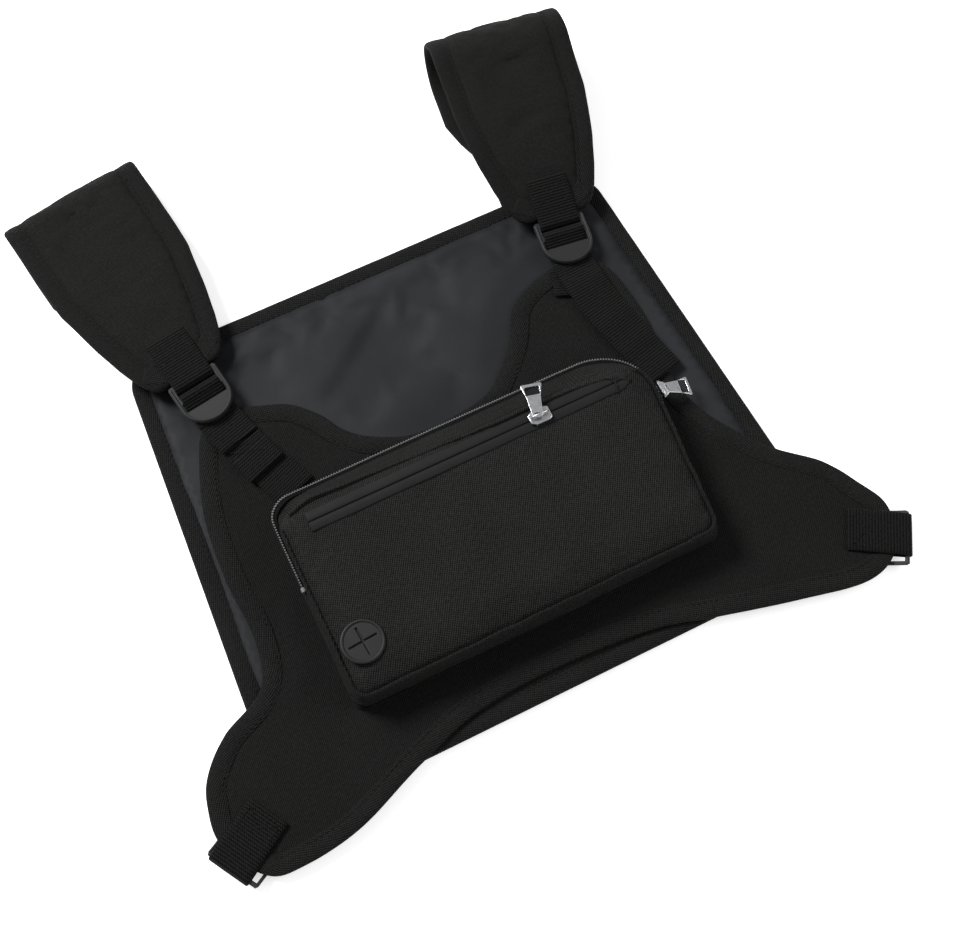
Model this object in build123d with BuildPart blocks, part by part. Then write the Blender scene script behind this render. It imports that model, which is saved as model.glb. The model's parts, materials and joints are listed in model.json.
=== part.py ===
from build123d import *
import os
from math import atan2, cos, degrees, radians, sin, tan

# Safety harness vest laid flat, as it is put down after use. Millimetres.
# X runs across the garment, Y up it towards the shoulder straps, Z up from the table.
# The origin is the centre of the back panel's flat underside.

os.makedirs("parts", exist_ok=True)

# ---------------------------------------------------------------- driving dimensions
WEBBING = 25.0  # width of every piece of webbing
WEB_THICK = 1.2
WEB_GAP = 0.3  # webbing to the bar that it wraps

PANEL_TOP = 309.0  # back panel, a trapezium that widens downwards
PANEL_BOTTOM = 343.0
PANEL_HEIGHT = 286.6
PANEL_TOP_RADIUS = 20.0
PANEL_BOTTOM_RADIUS = 6.0
PANEL_THICK = 4.8
BINDING = 11.0  # width of the bound edge
BINDING_CLOTH = 0.8
BINDING_GROOVE = 1.2  # what the binding folds round the edge, in from its outside
CLOTH = 0.8

FRONT_LOW = 5.2  # underside of the front panel, which lies on the back panel
FRONT_LINING = 0.5
FRONT_CANVAS = 1.6
FRONT_THICK = 2.8
# right half of the front panel's edge, from the neck curve round the horn and wing to the hem
FRONT_EDGE = (
    (0, 27.5), (38, 36), (60, 60), (79, 84), (107, 91), (132, 77), (142, 35), (143.5, -22),
    (162, -67), (193, -99), (204, -130), (193.5, -155.5), (172, -164), (140, -158.5), (108, -149.5),
    (76, -139.5), (42, -132.5), (0, -130.5),
)

STRAP_WIDTH = 85.0
STRAP_THICK = 5.6
STRAP_BINDING = 13.0
STRAP_END_WIDTH = 44.0
STRAP_SEAM_WIDTH = 58.0
STRAP_LOW = 3.4  # height of the middle of the leg that lies on the table
STRAP_END_HEIGHT = 14.2  # height of the middle of the strap's sewn end
STRAP_TAPER = 62.0  # each leg widens over this length from its narrow end
STRAP_END_FILLET = 6.0
FOLD_SETBACK = 9.0  # each leg stops this far before the middle of its fold
FOLD_HINGE = (0, 246.0, 18.4)  # the line about which the front half opens
# each strap as it falls: side, splay in degrees, radius of its fold, how far up the fold's middle is
STRAPS = (
    ("left", -1, -9.0, 9.0, 246.0),
    ("right", 1, 7.5, 21.0, 226.0),
)

LOCK_APEX = (115.4, 84.0)  # tip of each ladder lock's plate
LOCK_WIDTH = 31.6
LOCK_THICK = 2.8
LOCK_PLATE = 12.6  # length of the half-round plate
LOCK_GRIP_BAR = 20.0
LOCK_TOP_BAR = 30.0
LOCK_LENGTH = 31.8
LOCK_WINDOW = 26.4
BAR_RADIUS = 1.3

POCKET_BASE = 8.1
POCKET_LEFT = -112.0
POCKET_RIGHT = 108.5  # at the bottom; the right side leans out towards the top
POCKET_LEAN = 5.5  # degrees
POCKET_LOW = -105.0
POCKET_HIGH = 21.5
POCKET_LEFT_TOP_RADIUS = 12.0
POCKET_FOOT_RADIUS = 8.0
POCKET_CORNER = 36.0  # large corner that the main zip runs round
POCKET_CLOTH = 1.2
ZIP_LOW = 17.0
ZIP_HIGH = 23.0
ZIP_MIDDLE = (ZIP_LOW + ZIP_HIGH) / 2
ZIP_LEFT_END = -36.0
ZIP_RIGHT_END = -24.0
TOOTH = 1.2
FACE_HIGH = 33.0
FACE_TOP_EDGE = 6.5
FRONT_ZIP_Y = -3.6
FRONT_ZIP_WIDTH = 11.4
FRONT_ZIP_LEFT = -95.0
FRONT_ZIP_RIGHT = 106.0
FRONT_ZIP_SLOT = 1.8
SLIDER_BODY = (12.0, 8.0, 2.2)  # along the zip, across it, high
SLIDER_NECK = (6.0, 1.0, 3.2)  # the stem that passes between the tapes
SLIDER_FOOT = (9.0, 5.6, 1.1)  # the plate under the tapes
SLIDER_BAIL_POSTS = 4.8  # from the middle of the slider to each post of its bail
FRONT_SLIDER_X = 46.5
PORT = (-95.5, -77.0)
PORT_RADIUS = 12.2

PULL_LENGTH = 19.0
PULL_THICK = 1.2
PULL_WIDE = 12.0
PULL_NARROW = 6.5
PULL_WINDOW = (6.8, 4.0)
FRONT_PULL_ASIDE = 1.4  # the tab hangs this far from the middle of the bail
FRONT_PULL_LEAN = 4.8  # how far the wide end stands to one side
MAIN_PULL_LEAN = -3.0
MAIN_PULL_DROP = 23.0  # degrees the hanging tab slopes down
BAIL_RADIUS = 0.7

LOOP_START = (176.7, -131.9)  # middle of the sewn end of the right side loop
LOOP_TURN = -31.0  # degrees, the way the right loop points
LOOP_LENGTH = 37.3
RING_LENGTH = 16.0  # bar to bar
RING_THICK = 1.5
RING_DROP = 19.5  # degrees, the folded ring slopes down under the wing


def panel_outline(inset=0.0):
    """The back panel's edge, moved in by inset."""
    low, high = -PANEL_HEIGHT / 2, PANEL_HEIGHT / 2
    with BuildSketch() as outline:
        with BuildLine():
            Polyline(
                (-PANEL_BOTTOM / 2, low), (PANEL_BOTTOM / 2, low), (PANEL_TOP / 2, high), (-PANEL_TOP / 2, high), close=True
            )
        make_face()
        fillet(outline.vertices().group_by(Axis.Y)[-1], PANEL_TOP_RADIUS)
        fillet(outline.vertices().group_by(Axis.Y)[0], PANEL_BOTTOM_RADIUS)
        if inset:
            offset(amount=-inset, kind=Kind.INTERSECTION)
    return outline.sketch


def front_outline(inset=0.0):
    """The front panel's edge: one smooth line down each side, mirrored, moved in by inset."""
    steps = 32
    ends = {"tangents": ((1, 0), (-1, 0)), "tangent_scalars": (0.5, 0.5)}
    with BuildLine(mode=Mode.PRIVATE):
        edge = Spline(*FRONT_EDGE, **ends)
    inner = [edge @ (n / steps) - (edge % (n / steps)).rotate(Axis.Z, 90) * inset for n in range(steps + 1)]
    with BuildSketch() as outline:
        with BuildLine():
            half = Spline(*inner, **ends)
            mirror(half, about=Plane.YZ)
        make_face()
    return outline.sketch


def pocket_outline(grow=0.0, face=False):
    """The pocket's edge at the main zip, or round its front face, moved out by grow."""
    top = FACE_TOP_EDGE if face else POCKET_HIGH
    low = POCKET_LOW + 1.5 if face else POCKET_LOW
    left = POCKET_LEFT + 2.5 if face else POCKET_LEFT
    right = POCKET_RIGHT - 3.5 if face else POCKET_RIGHT
    corner = POCKET_CORNER - 10 if face else POCKET_CORNER
    lean = (top - low) * tan(radians(POCKET_LEAN))
    with BuildSketch() as outline:
        with BuildLine():
            Polyline((left, low), (right, low), (right + lean, top), (left, top), close=True)
        make_face()
        right_top = outline.vertices().sort_by_distance((right + lean, top, 0))[0]
        fillet(right_top, corner)
        left_top = outline.vertices().sort_by_distance((left, top, 0))[0]
        fillet(left_top, POCKET_LEFT_TOP_RADIUS)
        fillet(outline.vertices().group_by(Axis.Y)[0], POCKET_FOOT_RADIUS)
        if grow:
            offset(amount=grow, kind=Kind.INTERSECTION)
    return outline.sketch


# ---------------------------------------------------------------- back panel
# The outer cloth and the lining run into a binding that folds round the edge.
with BuildPart() as back_panel_shell:
    with BuildSketch():
        add(panel_outline(BINDING + 0.3))
    extrude(amount=2 * CLOTH)
    with BuildSketch(Plane.XY.offset(BINDING_CLOTH)):
        add(panel_outline(BINDING_GROOVE))
    extrude(amount=CLOTH)
back_panel_shell.part.label = "back_panel_shell"
export_step(back_panel_shell.part, "parts/back_panel_shell.step")

with BuildPart() as back_panel_foam:
    with BuildSketch(Plane.XY.offset(2 * CLOTH)):
        add(panel_outline(BINDING_GROOVE))
    extrude(amount=PANEL_THICK - BINDING_CLOTH - 3 * CLOTH)
back_panel_foam.part.label = "back_panel_foam"
export_step(back_panel_foam.part, "parts/back_panel_foam.step")

with BuildPart() as back_panel_lining:
    with BuildSketch(Plane.XY.offset(PANEL_THICK - BINDING_CLOTH - CLOTH)):
        add(panel_outline(BINDING_GROOVE))
    extrude(amount=CLOTH)
back_panel_lining.part.label = "back_panel_lining"
export_step(back_panel_lining.part, "parts/back_panel_lining.step")

with BuildPart() as back_panel_binding:
    with BuildSketch():
        add(panel_outline())
        add(panel_outline(BINDING), mode=Mode.SUBTRACT)
    extrude(amount=PANEL_THICK)
    with BuildSketch(Plane.XY.offset(BINDING_CLOTH)):
        add(panel_outline(BINDING_GROOVE))
    extrude(amount=PANEL_THICK - 2 * BINDING_CLOTH, mode=Mode.SUBTRACT)
back_panel_binding.part.label = "back_panel_binding"
export_step(back_panel_binding.part, "parts/back_panel_binding.step")

# ---------------------------------------------------------------- front panel
with BuildPart() as front_panel_lining:
    with BuildSketch(Plane.XY.offset(FRONT_LOW)):
        add(front_outline(BINDING + 0.3))
    extrude(amount=FRONT_LINING)
front_panel_lining.part.label = "front_panel_lining"
export_step(front_panel_lining.part, "parts/front_panel_lining.step")

canvas_low = FRONT_LOW + 0.6
with BuildPart() as front_panel_canvas:
    with BuildSketch(Plane.XY.offset(canvas_low)):
        add(front_outline(BINDING_GROOVE))
    extrude(amount=FRONT_CANVAS)
front_panel_canvas.part.label = "front_panel_canvas"
export_step(front_panel_canvas.part, "parts/front_panel_canvas.step")

with BuildPart() as front_panel_binding:
    with BuildSketch(Plane.XY.offset(FRONT_LOW)):
        add(front_outline())
        add(front_outline(BINDING), mode=Mode.SUBTRACT)
    extrude(amount=FRONT_THICK)
    with BuildSketch(Plane.XY.offset(canvas_low)):
        add(front_outline(BINDING_GROOVE))
    extrude(amount=FRONT_CANVAS, mode=Mode.SUBTRACT)
front_panel_binding.part.label = "front_panel_binding"
export_step(front_panel_binding.part, "parts/front_panel_binding.step")


# ---------------------------------------------------------------- shoulder straps
def leg_outline(length, end_width, inset=0.0):
    """A strap leg from y = 0 at its narrow end: it widens over STRAP_TAPER, then runs straight."""
    half, end = STRAP_WIDTH / 2, end_width / 2
    bulge = (half + end) / 2 + 6  # half the width where the taper is fullest
    bulge_at = STRAP_TAPER * 0.3
    with BuildSketch() as outline:
        with BuildLine():
            Polyline(
                (-end, 0), (end, 0), (bulge, bulge_at), (half, STRAP_TAPER), (half, length),
                (-half, length), (-half, STRAP_TAPER), (-bulge, bulge_at), close=True,
            )
        make_face()
        fillet(outline.vertices().group_by(Axis.Y)[0], STRAP_END_FILLET)
        if inset:
            offset(amount=-inset, kind=Kind.INTERSECTION)
    return outline.sketch


def webbing_path(width=WEB_THICK):
    """Turns the line being drawn into a band as thick as the webbing."""
    trace(line_width=width)


for side, hand, splay, fold_radius, fold_y in STRAPS:
    turn = radians(splay)
    across = Vector(cos(turn), -sin(turn), 0)
    along = Vector(sin(turn), cos(turn), 0)
    apex = Vector(hand * LOCK_APEX[0], LOCK_APEX[1], 0)
    fold_reach = (fold_y - LOCK_APEX[1]) / cos(turn)
    fold_top = STRAP_LOW + 2 * fold_radius
    end_reach = LOCK_TOP_BAR + 3.5
    rise = atan2(fold_top - STRAP_END_HEIGHT, fold_reach - end_reach)
    front_dir = along * cos(rise) + Vector(0, 0, sin(rise))
    front_up = across.cross(front_dir)
    front_start = apex + along * end_reach + Vector(0, 0, STRAP_END_HEIGHT)
    front_plane = Plane(origin=front_start, x_dir=across, z_dir=front_up)
    front_length = (fold_reach - end_reach - FOLD_SETBACK) / cos(rise)
    seam_reach = (PANEL_HEIGHT / 2 - LOCK_APEX[1]) / cos(turn)
    back_plane = Plane(origin=apex + along * (seam_reach - 8) + Vector(0, 0, STRAP_LOW), x_dir=across, z_dir=(0, 0, 1))
    back_length = fold_reach - FOLD_SETBACK - seam_reach + 8
    seam_cut = Plane(origin=(0, PANEL_HEIGHT / 2 + 0.3, 0), z_dir=(0, 1, 0))
    legs = (
        ("front", front_plane, front_length, STRAP_END_WIDTH),
        ("back", back_plane, back_length, STRAP_SEAM_WIDTH),
    )
    half_thick = STRAP_THICK / 2
    skin = half_thick - 0.6
    foam_half = skin - CLOTH

    for leg, plane, length, end_width in legs:
        with BuildPart() as strap_cover:
            with BuildSketch(plane.offset(-skin)):
                add(leg_outline(length, end_width, BINDING_GROOVE))
            extrude(amount=2 * skin)
            with BuildSketch(plane.offset(-foam_half)):
                add(leg_outline(length, end_width, STRAP_BINDING))
            extrude(amount=2 * foam_half, mode=Mode.SUBTRACT)
            if leg == "back":
                split(bisect_by=seam_cut, keep=Keep.TOP)
        strap_cover.part.label = f"strap_{side}_{leg}_cover"
        export_step(strap_cover.part, f"parts/strap_{side}_{leg}_cover.step")

        with BuildPart() as strap_foam:
            with BuildSketch(plane.offset(-foam_half)):
                add(leg_outline(length, end_width, STRAP_BINDING))
            extrude(amount=2 * foam_half)
            if leg == "back":
                split(bisect_by=seam_cut, keep=Keep.TOP)
        strap_foam.part.label = f"strap_{side}_{leg}_foam"
        export_step(strap_foam.part, f"parts/strap_{side}_{leg}_foam.step")

        with BuildPart() as strap_binding:
            with BuildSketch(plane.offset(-half_thick)):
                add(leg_outline(length, end_width))
                add(leg_outline(length, end_width, STRAP_BINDING), mode=Mode.SUBTRACT)
                with Locations((0, length)):
                    Rectangle(STRAP_WIDTH - 2 * STRAP_BINDING, 2 * STRAP_BINDING + 1, mode=Mode.SUBTRACT)
                if leg == "back":
                    Rectangle(STRAP_SEAM_WIDTH - 2 * STRAP_BINDING, 80, mode=Mode.SUBTRACT)
            extrude(amount=2 * half_thick)
            with BuildSketch(plane.offset(-skin)):
                add(leg_outline(length, end_width, BINDING_GROOVE))
            extrude(amount=2 * skin, mode=Mode.SUBTRACT)
            if leg == "back":
                split(bisect_by=seam_cut, keep=Keep.TOP)
        strap_binding.part.label = f"strap_{side}_{leg}_binding"
        export_step(strap_binding.part, f"parts/strap_{side}_{leg}_binding.step")

    # the bend of the strap, a half tube between the two legs
    fold_middle = apex + along * fold_reach + Vector(0, 0, STRAP_LOW + fold_radius)
    side_plane = Plane(origin=fold_middle, x_dir=along, z_dir=across * -1)
    with BuildPart() as strap_fold:
        with BuildSketch(side_plane):
            with BuildLine():
                Line((-FOLD_SETBACK + 0.3, -fold_radius), (0, -fold_radius))
                ThreePointArc((0, -fold_radius), (fold_radius, 0), (0, fold_radius))
                Line((0, fold_radius), (-FOLD_SETBACK + 1, fold_radius - (FOLD_SETBACK - 1) * tan(rise)))
            webbing_path(2 * skin)
        extrude(amount=STRAP_WIDTH / 2 - 0.4, both=True)
    strap_fold.part.label = f"strap_{side}_fold"
    export_step(strap_fold.part, f"parts/strap_{side}_fold.step")

    # webbing tab: sewn on the strap, round the lock's top bar and back under the strap
    tab_plane = Plane(origin=front_start, x_dir=front_dir, z_dir=across * -1)
    web_middle = half_thick + 0.1 + WEB_THICK / 2
    wrap = BAR_RADIUS + WEB_GAP + WEB_THICK / 2
    bar_back = end_reach - LOCK_TOP_BAR
    with BuildPart() as strap_tab:
        with BuildSketch(tab_plane):
            with BuildLine():
                Line((30, web_middle), (-0.5, web_middle))
                Line((-0.5, web_middle), (-bar_back, wrap))
                ThreePointArc((-bar_back, wrap), (-bar_back - wrap, 0), (-bar_back, -wrap))
                Line((-bar_back, -wrap), (-0.5, -web_middle))
                Line((-0.5, -web_middle), (16, -web_middle))
            webbing_path()
        extrude(amount=WEBBING / 2, both=True)
    strap_tab.part.label = f"strap_{side}_tab"
    export_step(strap_tab.part, f"parts/strap_{side}_tab.step")

    # ---- ladder lock: two rails, a half-round plate and two round bars
    bar_high = STRAP_END_HEIGHT - bar_back * sin(rise)
    lock_plane = Plane(origin=apex + Vector(0, 0, bar_high), x_dir=across, z_dir=(0, 0, 1))
    rail_half = LOCK_WIDTH / 2
    with BuildPart() as ladder_lock:
        with BuildSketch(lock_plane.offset(-LOCK_THICK / 2)):
            with BuildLine():
                ThreePointArc((-rail_half, LOCK_PLATE), (0, 0), (rail_half, LOCK_PLATE))
                Polyline(
                    (rail_half, LOCK_PLATE), (rail_half, LOCK_LENGTH), (-rail_half, LOCK_LENGTH), (-rail_half, LOCK_PLATE)
                )
            make_face()
            with Locations((0, (LOCK_PLATE + LOCK_LENGTH + 4) / 2)):
                Rectangle(LOCK_WINDOW, LOCK_LENGTH + 4 - LOCK_PLATE, mode=Mode.SUBTRACT)
        extrude(amount=LOCK_THICK)
        for bar in (LOCK_GRIP_BAR, LOCK_TOP_BAR):
            with Locations(lock_plane):
                with Locations((0, bar, 0)):
                    Cylinder(BAR_RADIUS, LOCK_WIDTH - 1.5, rotation=(0, 90, 0))
    ladder_lock.part.label = f"ladder_lock_{side}"
    export_step(ladder_lock.part, f"parts/ladder_lock_{side}.step")

    # adjuster webbing where it is threaded: under the plate, round the grip bar and back under
    thread_plane = Plane(origin=apex + Vector(0, 0, bar_high), x_dir=along, z_dir=across * -1)
    under_plate = LOCK_THICK / 2 + WEB_GAP + WEB_THICK / 2
    wrap_end = (LOCK_GRIP_BAR - wrap * sin(radians(45)), wrap * cos(radians(45)))
    with BuildPart() as adjuster_loop:
        with BuildSketch(thread_plane):
            with BuildLine():
                Line((1.5, -under_plate - 1.7), (15, -under_plate - 1.7))
                Line((15, -under_plate - 1.7), (LOCK_GRIP_BAR, -wrap))
                ThreePointArc((LOCK_GRIP_BAR, -wrap), (LOCK_GRIP_BAR + wrap, 0), wrap_end)
                Line(wrap_end, (LOCK_PLATE + 2.4, -under_plate + 0.5))
                Line((LOCK_PLATE + 2.4, -under_plate + 0.5), (LOCK_PLATE + 0.8, -under_plate))
                Line((LOCK_PLATE + 0.8, -under_plate), (1.5, -under_plate))
            webbing_path()
        extrude(amount=WEBBING / 2, both=True)
    adjuster_loop.part.label = f"adjuster_loop_{side}"
    export_step(adjuster_loop.part, f"parts/adjuster_loop_{side}.step")

# ---------------------------------------------------------------- adjuster webbing on the front panel
# The sewn anchor lies on the panel; the free tail lies on it.
ANCHOR_LOW = FRONT_LOW + FRONT_THICK + WEB_GAP
TAIL_LOW = ANCHOR_LOW + WEB_THICK + 0.2
webbing_runs = (
    ("adjuster_anchor_left", ANCHOR_LOW, ((-115.2, 81.5), (-93, 27))),
    ("adjuster_anchor_right", ANCHOR_LOW, ((111.5, 81.5), (106.5, 66))),
    ("adjuster_tail_left", TAIL_LOW, ((-115.2, 81.5), (-101.5, 43.5))),
    ("adjuster_tail_right", TAIL_LOW, ((115.2, 81.5), (119.5, 52), (125, 24), (130.5, -3))),
)
for node, low, route in webbing_runs:
    with BuildPart() as adjuster_web:
        with BuildSketch(Plane.XY.offset(low)):
            with BuildLine():
                Polyline(*route)
            trace(line_width=WEBBING)
        extrude(amount=WEB_THICK)
    adjuster_web.part.label = node
    export_step(adjuster_web.part, f"parts/{node}.step")

# ---------------------------------------------------------------- pocket
below_zip = (POCKET_LEFT + POCKET_RIGHT) / 2


def zip_gap(mode=Mode.ADD):
    """The stretches of the pocket's edge that carry no zip: the two sides' lower parts and the bottom."""
    for side_x, end in ((POCKET_LEFT, ZIP_LEFT_END), (POCKET_RIGHT, ZIP_RIGHT_END)):
        with Locations((side_x, (end + POCKET_LOW) / 2 - 10)):
            Rectangle(60, end - POCKET_LOW + 20, mode=mode)
    with Locations((below_zip, POCKET_LOW)):
        Rectangle(POCKET_RIGHT - POCKET_LEFT, 30, mode=mode)


with BuildPart() as pocket_gusset:
    with BuildSketch(Plane.XY.offset(POCKET_BASE)):
        add(pocket_outline())
        add(pocket_outline(-POCKET_CLOTH), mode=Mode.SUBTRACT)
    extrude(amount=ZIP_LOW - POCKET_BASE)
    with BuildSketch(Plane.XY.offset(ZIP_LOW)):
        zip_gap()
        add(pocket_outline(), mode=Mode.INTERSECT)
        add(pocket_outline(-POCKET_CLOTH), mode=Mode.SUBTRACT)
    extrude(amount=ZIP_HIGH - ZIP_LOW)
pocket_gusset.part.label = "pocket_gusset"
export_step(pocket_gusset.part, "parts/pocket_gusset.step")

def zip_band(low, high, inner, outer):
    """A band round the pocket along the main zip: up the left side, across the top and round to the right."""
    with BuildPart() as band:
        with BuildSketch(Plane.XY.offset(low)):
            add(pocket_outline(outer))
            add(pocket_outline(inner), mode=Mode.SUBTRACT)
            zip_gap(Mode.SUBTRACT)
        extrude(amount=high - low)
    return band.part


with BuildPart() as main_zip_tape:
    add(zip_band(ZIP_LOW, ZIP_HIGH, -CLOTH, 0))
main_zip_tape.part.label = "main_zip_tape"
export_step(main_zip_tape.part, "parts/main_zip_tape.step")

with BuildPart() as main_zip_teeth:
    add(zip_band(ZIP_MIDDLE - 1.1, ZIP_MIDDLE + 1.1, 0.1, TOOTH + 0.1))
main_zip_teeth.part.label = "main_zip_teeth"
export_step(main_zip_teeth.part, "parts/main_zip_teeth.step")

# front of the pocket: the cloth slopes in from the zip to a flat face
slot_length = FRONT_ZIP_RIGHT - FRONT_ZIP_LEFT - 4
slot_middle = (FRONT_ZIP_RIGHT + FRONT_ZIP_LEFT) / 2
with BuildPart() as pocket_front:
    with BuildSketch(Plane.XY.offset(ZIP_HIGH)):
        add(pocket_outline())
    with BuildSketch(Plane.XY.offset(FACE_HIGH)):
        add(pocket_outline(0, face=True))
    loft()
    with BuildSketch(Plane.XY.offset(ZIP_HIGH)):
        add(pocket_outline(-POCKET_CLOTH))
    with BuildSketch(Plane.XY.offset(FACE_HIGH - POCKET_CLOTH)):
        add(pocket_outline(-POCKET_CLOTH, face=True))
    loft(mode=Mode.SUBTRACT)
    with Locations((slot_middle, FRONT_ZIP_Y, FACE_HIGH)):
        Box(slot_length, 7.6, 4, mode=Mode.SUBTRACT)
    with Locations((*PORT, FACE_HIGH)):
        Cylinder(PORT_RADIUS - 1.8, 4, mode=Mode.SUBTRACT)
pocket_front.part.label = "pocket_front"
export_step(pocket_front.part, "parts/pocket_front.step")

# sheet that parts the front compartment from the main one
DIVIDER_LOW = 24.4
with BuildPart() as pocket_divider:
    with BuildSketch(Plane.XY.offset(DIVIDER_LOW)):
        with Locations((slot_middle - 5, (POCKET_LOW + FACE_TOP_EDGE) / 2)):
            RectangleRounded(204, FACE_TOP_EDGE - POCKET_LOW - 8, 8)
    extrude(amount=0.6)
pocket_divider.part.label = "pocket_divider"
export_step(pocket_divider.part, "parts/pocket_divider.step")

# rubber port for an earphone lead: flanges each side of the cloth and a cross slit
with BuildPart() as earphone_port:
    with Locations((*PORT, FACE_HIGH + 0.1)):
        Cylinder(PORT_RADIUS, 1.0, align=(Align.CENTER, Align.CENTER, Align.MIN))
        Cylinder(PORT_RADIUS - 2.0, POCKET_CLOTH + 1, align=(Align.CENTER, Align.CENTER, Align.MAX))
    with Locations((*PORT, FACE_HIGH - POCKET_CLOTH - 0.1)):
        Cylinder(PORT_RADIUS - 0.2, 1.0, align=(Align.CENTER, Align.CENTER, Align.MAX))
    with BuildSketch(Plane.XY.offset(FACE_HIGH + 1)):
        with Locations(PORT):
            Circle(PORT_RADIUS)
            Circle(PORT_RADIUS - 1.6, mode=Mode.SUBTRACT)
    extrude(amount=0.9)
    with Locations((*PORT, FACE_HIGH)):
        Box(16, 1.2, 20, mode=Mode.SUBTRACT)
        Box(1.2, 16, 20, mode=Mode.SUBTRACT)
earphone_port.part.label = "earphone_port"
export_step(earphone_port.part, "parts/earphone_port.step")

# front zip: coated tapes either side of a slot, with the coil underneath
with BuildPart() as front_zip_tape:
    with BuildSketch(Plane.XY.offset(FACE_HIGH + 0.1)):
        with Locations((slot_middle, FRONT_ZIP_Y)):
            Rectangle(FRONT_ZIP_RIGHT - FRONT_ZIP_LEFT, FRONT_ZIP_WIDTH)
            SlotOverall(slot_length - 3, FRONT_ZIP_SLOT, mode=Mode.SUBTRACT)
    extrude(amount=CLOTH)
front_zip_tape.part.label = "front_zip_tape"
export_step(front_zip_tape.part, "parts/front_zip_tape.step")

with BuildPart() as front_zip_coil:
    for hand in (-1, 1):
        with Locations((slot_middle, FRONT_ZIP_Y + hand * (FRONT_ZIP_SLOT / 2 + 0.7), FACE_HIGH + 0.1)):
            Box(slot_length - 3, 1.3, 1.1, align=(Align.CENTER, Align.CENTER, Align.MAX))
front_zip_coil.part.label = "front_zip_coil"
export_step(front_zip_coil.part, "parts/front_zip_coil.step")


# ---------------------------------------------------------------- sliders and pull tabs
def pull_tab(root, reach_dir, bar_dir, lean):
    """A tapered tab with a window near its wide end and a barrel round the bail's bar."""
    plane = Plane(origin=root, x_dir=bar_dir, z_dir=bar_dir.cross(reach_dir))
    half_wide, half_narrow = PULL_WIDE / 2, PULL_NARROW / 2
    with BuildPart() as tab:
        with BuildSketch(plane.offset(-PULL_THICK / 2)):
            with BuildLine():
                Polyline(
                    (-half_narrow, 1.2), (half_narrow, 1.2), (lean + half_wide, PULL_LENGTH),
                    (lean - half_wide, PULL_LENGTH), close=True,
                )
            make_face()
            with Locations((lean * 0.82, PULL_LENGTH - 4)):
                Rectangle(*PULL_WINDOW, mode=Mode.SUBTRACT)
        extrude(amount=PULL_THICK)
        with Locations(Plane(origin=root, z_dir=bar_dir)):
            Cylinder(BAIL_RADIUS + 0.9, PULL_NARROW - 1.5)
            Cylinder(BAIL_RADIUS + 0.1, PULL_NARROW + 5, mode=Mode.SUBTRACT)
    return tab.part


front_slider_low = FACE_HIGH + 0.1 + CLOTH + 0.4
front_bail_high = front_slider_low + 4.2
with BuildPart() as front_zip_slider:
    with Locations((FRONT_SLIDER_X, FRONT_ZIP_Y, front_slider_low)):
        Box(*SLIDER_BODY, align=(Align.CENTER, Align.CENTER, Align.MIN))
    fillet(front_zip_slider.edges().filter_by(Axis.Z), 2)
    with Locations((FRONT_SLIDER_X, FRONT_ZIP_Y, front_slider_low)):
        Box(*SLIDER_NECK, align=(Align.CENTER, Align.CENTER, Align.MAX))
    with Locations((FRONT_SLIDER_X, FRONT_ZIP_Y, front_slider_low - 2.9)):
        Box(*SLIDER_FOOT, align=(Align.CENTER, Align.CENTER, Align.MAX))
    with Locations((FRONT_SLIDER_X, FRONT_ZIP_Y, front_bail_high)):
        Cylinder(BAIL_RADIUS, 11, rotation=(0, 90, 0))
    for end in (-1, 1):
        with Locations((FRONT_SLIDER_X + end * SLIDER_BAIL_POSTS, FRONT_ZIP_Y, front_slider_low + 1)):
            Cylinder(BAIL_RADIUS, front_bail_high - front_slider_low - 1, align=(Align.CENTER, Align.CENTER, Align.MIN))
front_zip_slider.part.label = "front_zip_slider"
export_step(front_zip_slider.part, "parts/front_zip_slider.step")

pull_root = Vector(FRONT_SLIDER_X - FRONT_PULL_ASIDE, FRONT_ZIP_Y, front_bail_high)
with BuildPart() as front_zip_pull:
    add(pull_tab(pull_root, Vector(0, 1, 0), Vector(1, 0, 0), FRONT_PULL_LEAN))
front_zip_pull.part.label = "front_zip_pull"
export_step(front_zip_pull.part, "parts/front_zip_pull.step")

# The main zip's slider rides round the pocket's large corner, about that corner's centre.
lean_turn = radians(POCKET_LEAN)
side_x = POCKET_RIGHT + (POCKET_HIGH - POCKET_CORNER - POCKET_LOW) * tan(lean_turn)
corner = Vector(side_x - POCKET_CORNER / cos(lean_turn), POCKET_HIGH - POCKET_CORNER, ZIP_MIDDLE)
slider_sweep = 16.0
with BuildPart() as main_zip_slider:
    start_dir = Vector(cos(radians(slider_sweep / 2)), -sin(radians(slider_sweep / 2)), 0)
    with BuildSketch(Plane(origin=corner, x_dir=start_dir, z_dir=start_dir.cross(Vector(0, 0, 1)))):
        with Locations((POCKET_CORNER + 2.0, 0)):
            Rectangle(3.2, 5.8)
        with Locations((POCKET_CORNER + 0.8, 0)):
            Rectangle(1.9, 2.9, mode=Mode.SUBTRACT)
    revolve(axis=Axis(corner, (0, 0, 1)), revolution_arc=slider_sweep)
    bail_out = POCKET_CORNER + 5.6
    with Locations(corner + Vector(bail_out, 0, 0)):
        Cylinder(BAIL_RADIUS, 9.4, rotation=(90, 0, 0))
    for end in (-1, 1):
        with Locations(corner + Vector(POCKET_CORNER + 2.6, end * 4, 0)):
            Cylinder(BAIL_RADIUS, 3, rotation=(0, 90, 0), align=(Align.CENTER, Align.CENTER, Align.MIN))
main_zip_slider.part.label = "main_zip_slider"
export_step(main_zip_slider.part, "parts/main_zip_slider.step")

drop = radians(MAIN_PULL_DROP)
with BuildPart() as main_zip_pull:
    main_reach = Vector(cos(drop), 0, -sin(drop))
    add(pull_tab(corner + Vector(bail_out, 0, 0), main_reach, Vector(0, 1, 0), MAIN_PULL_LEAN))
main_zip_pull.part.label = "main_zip_pull"
export_step(main_zip_pull.part, "parts/main_zip_pull.step")

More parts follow.
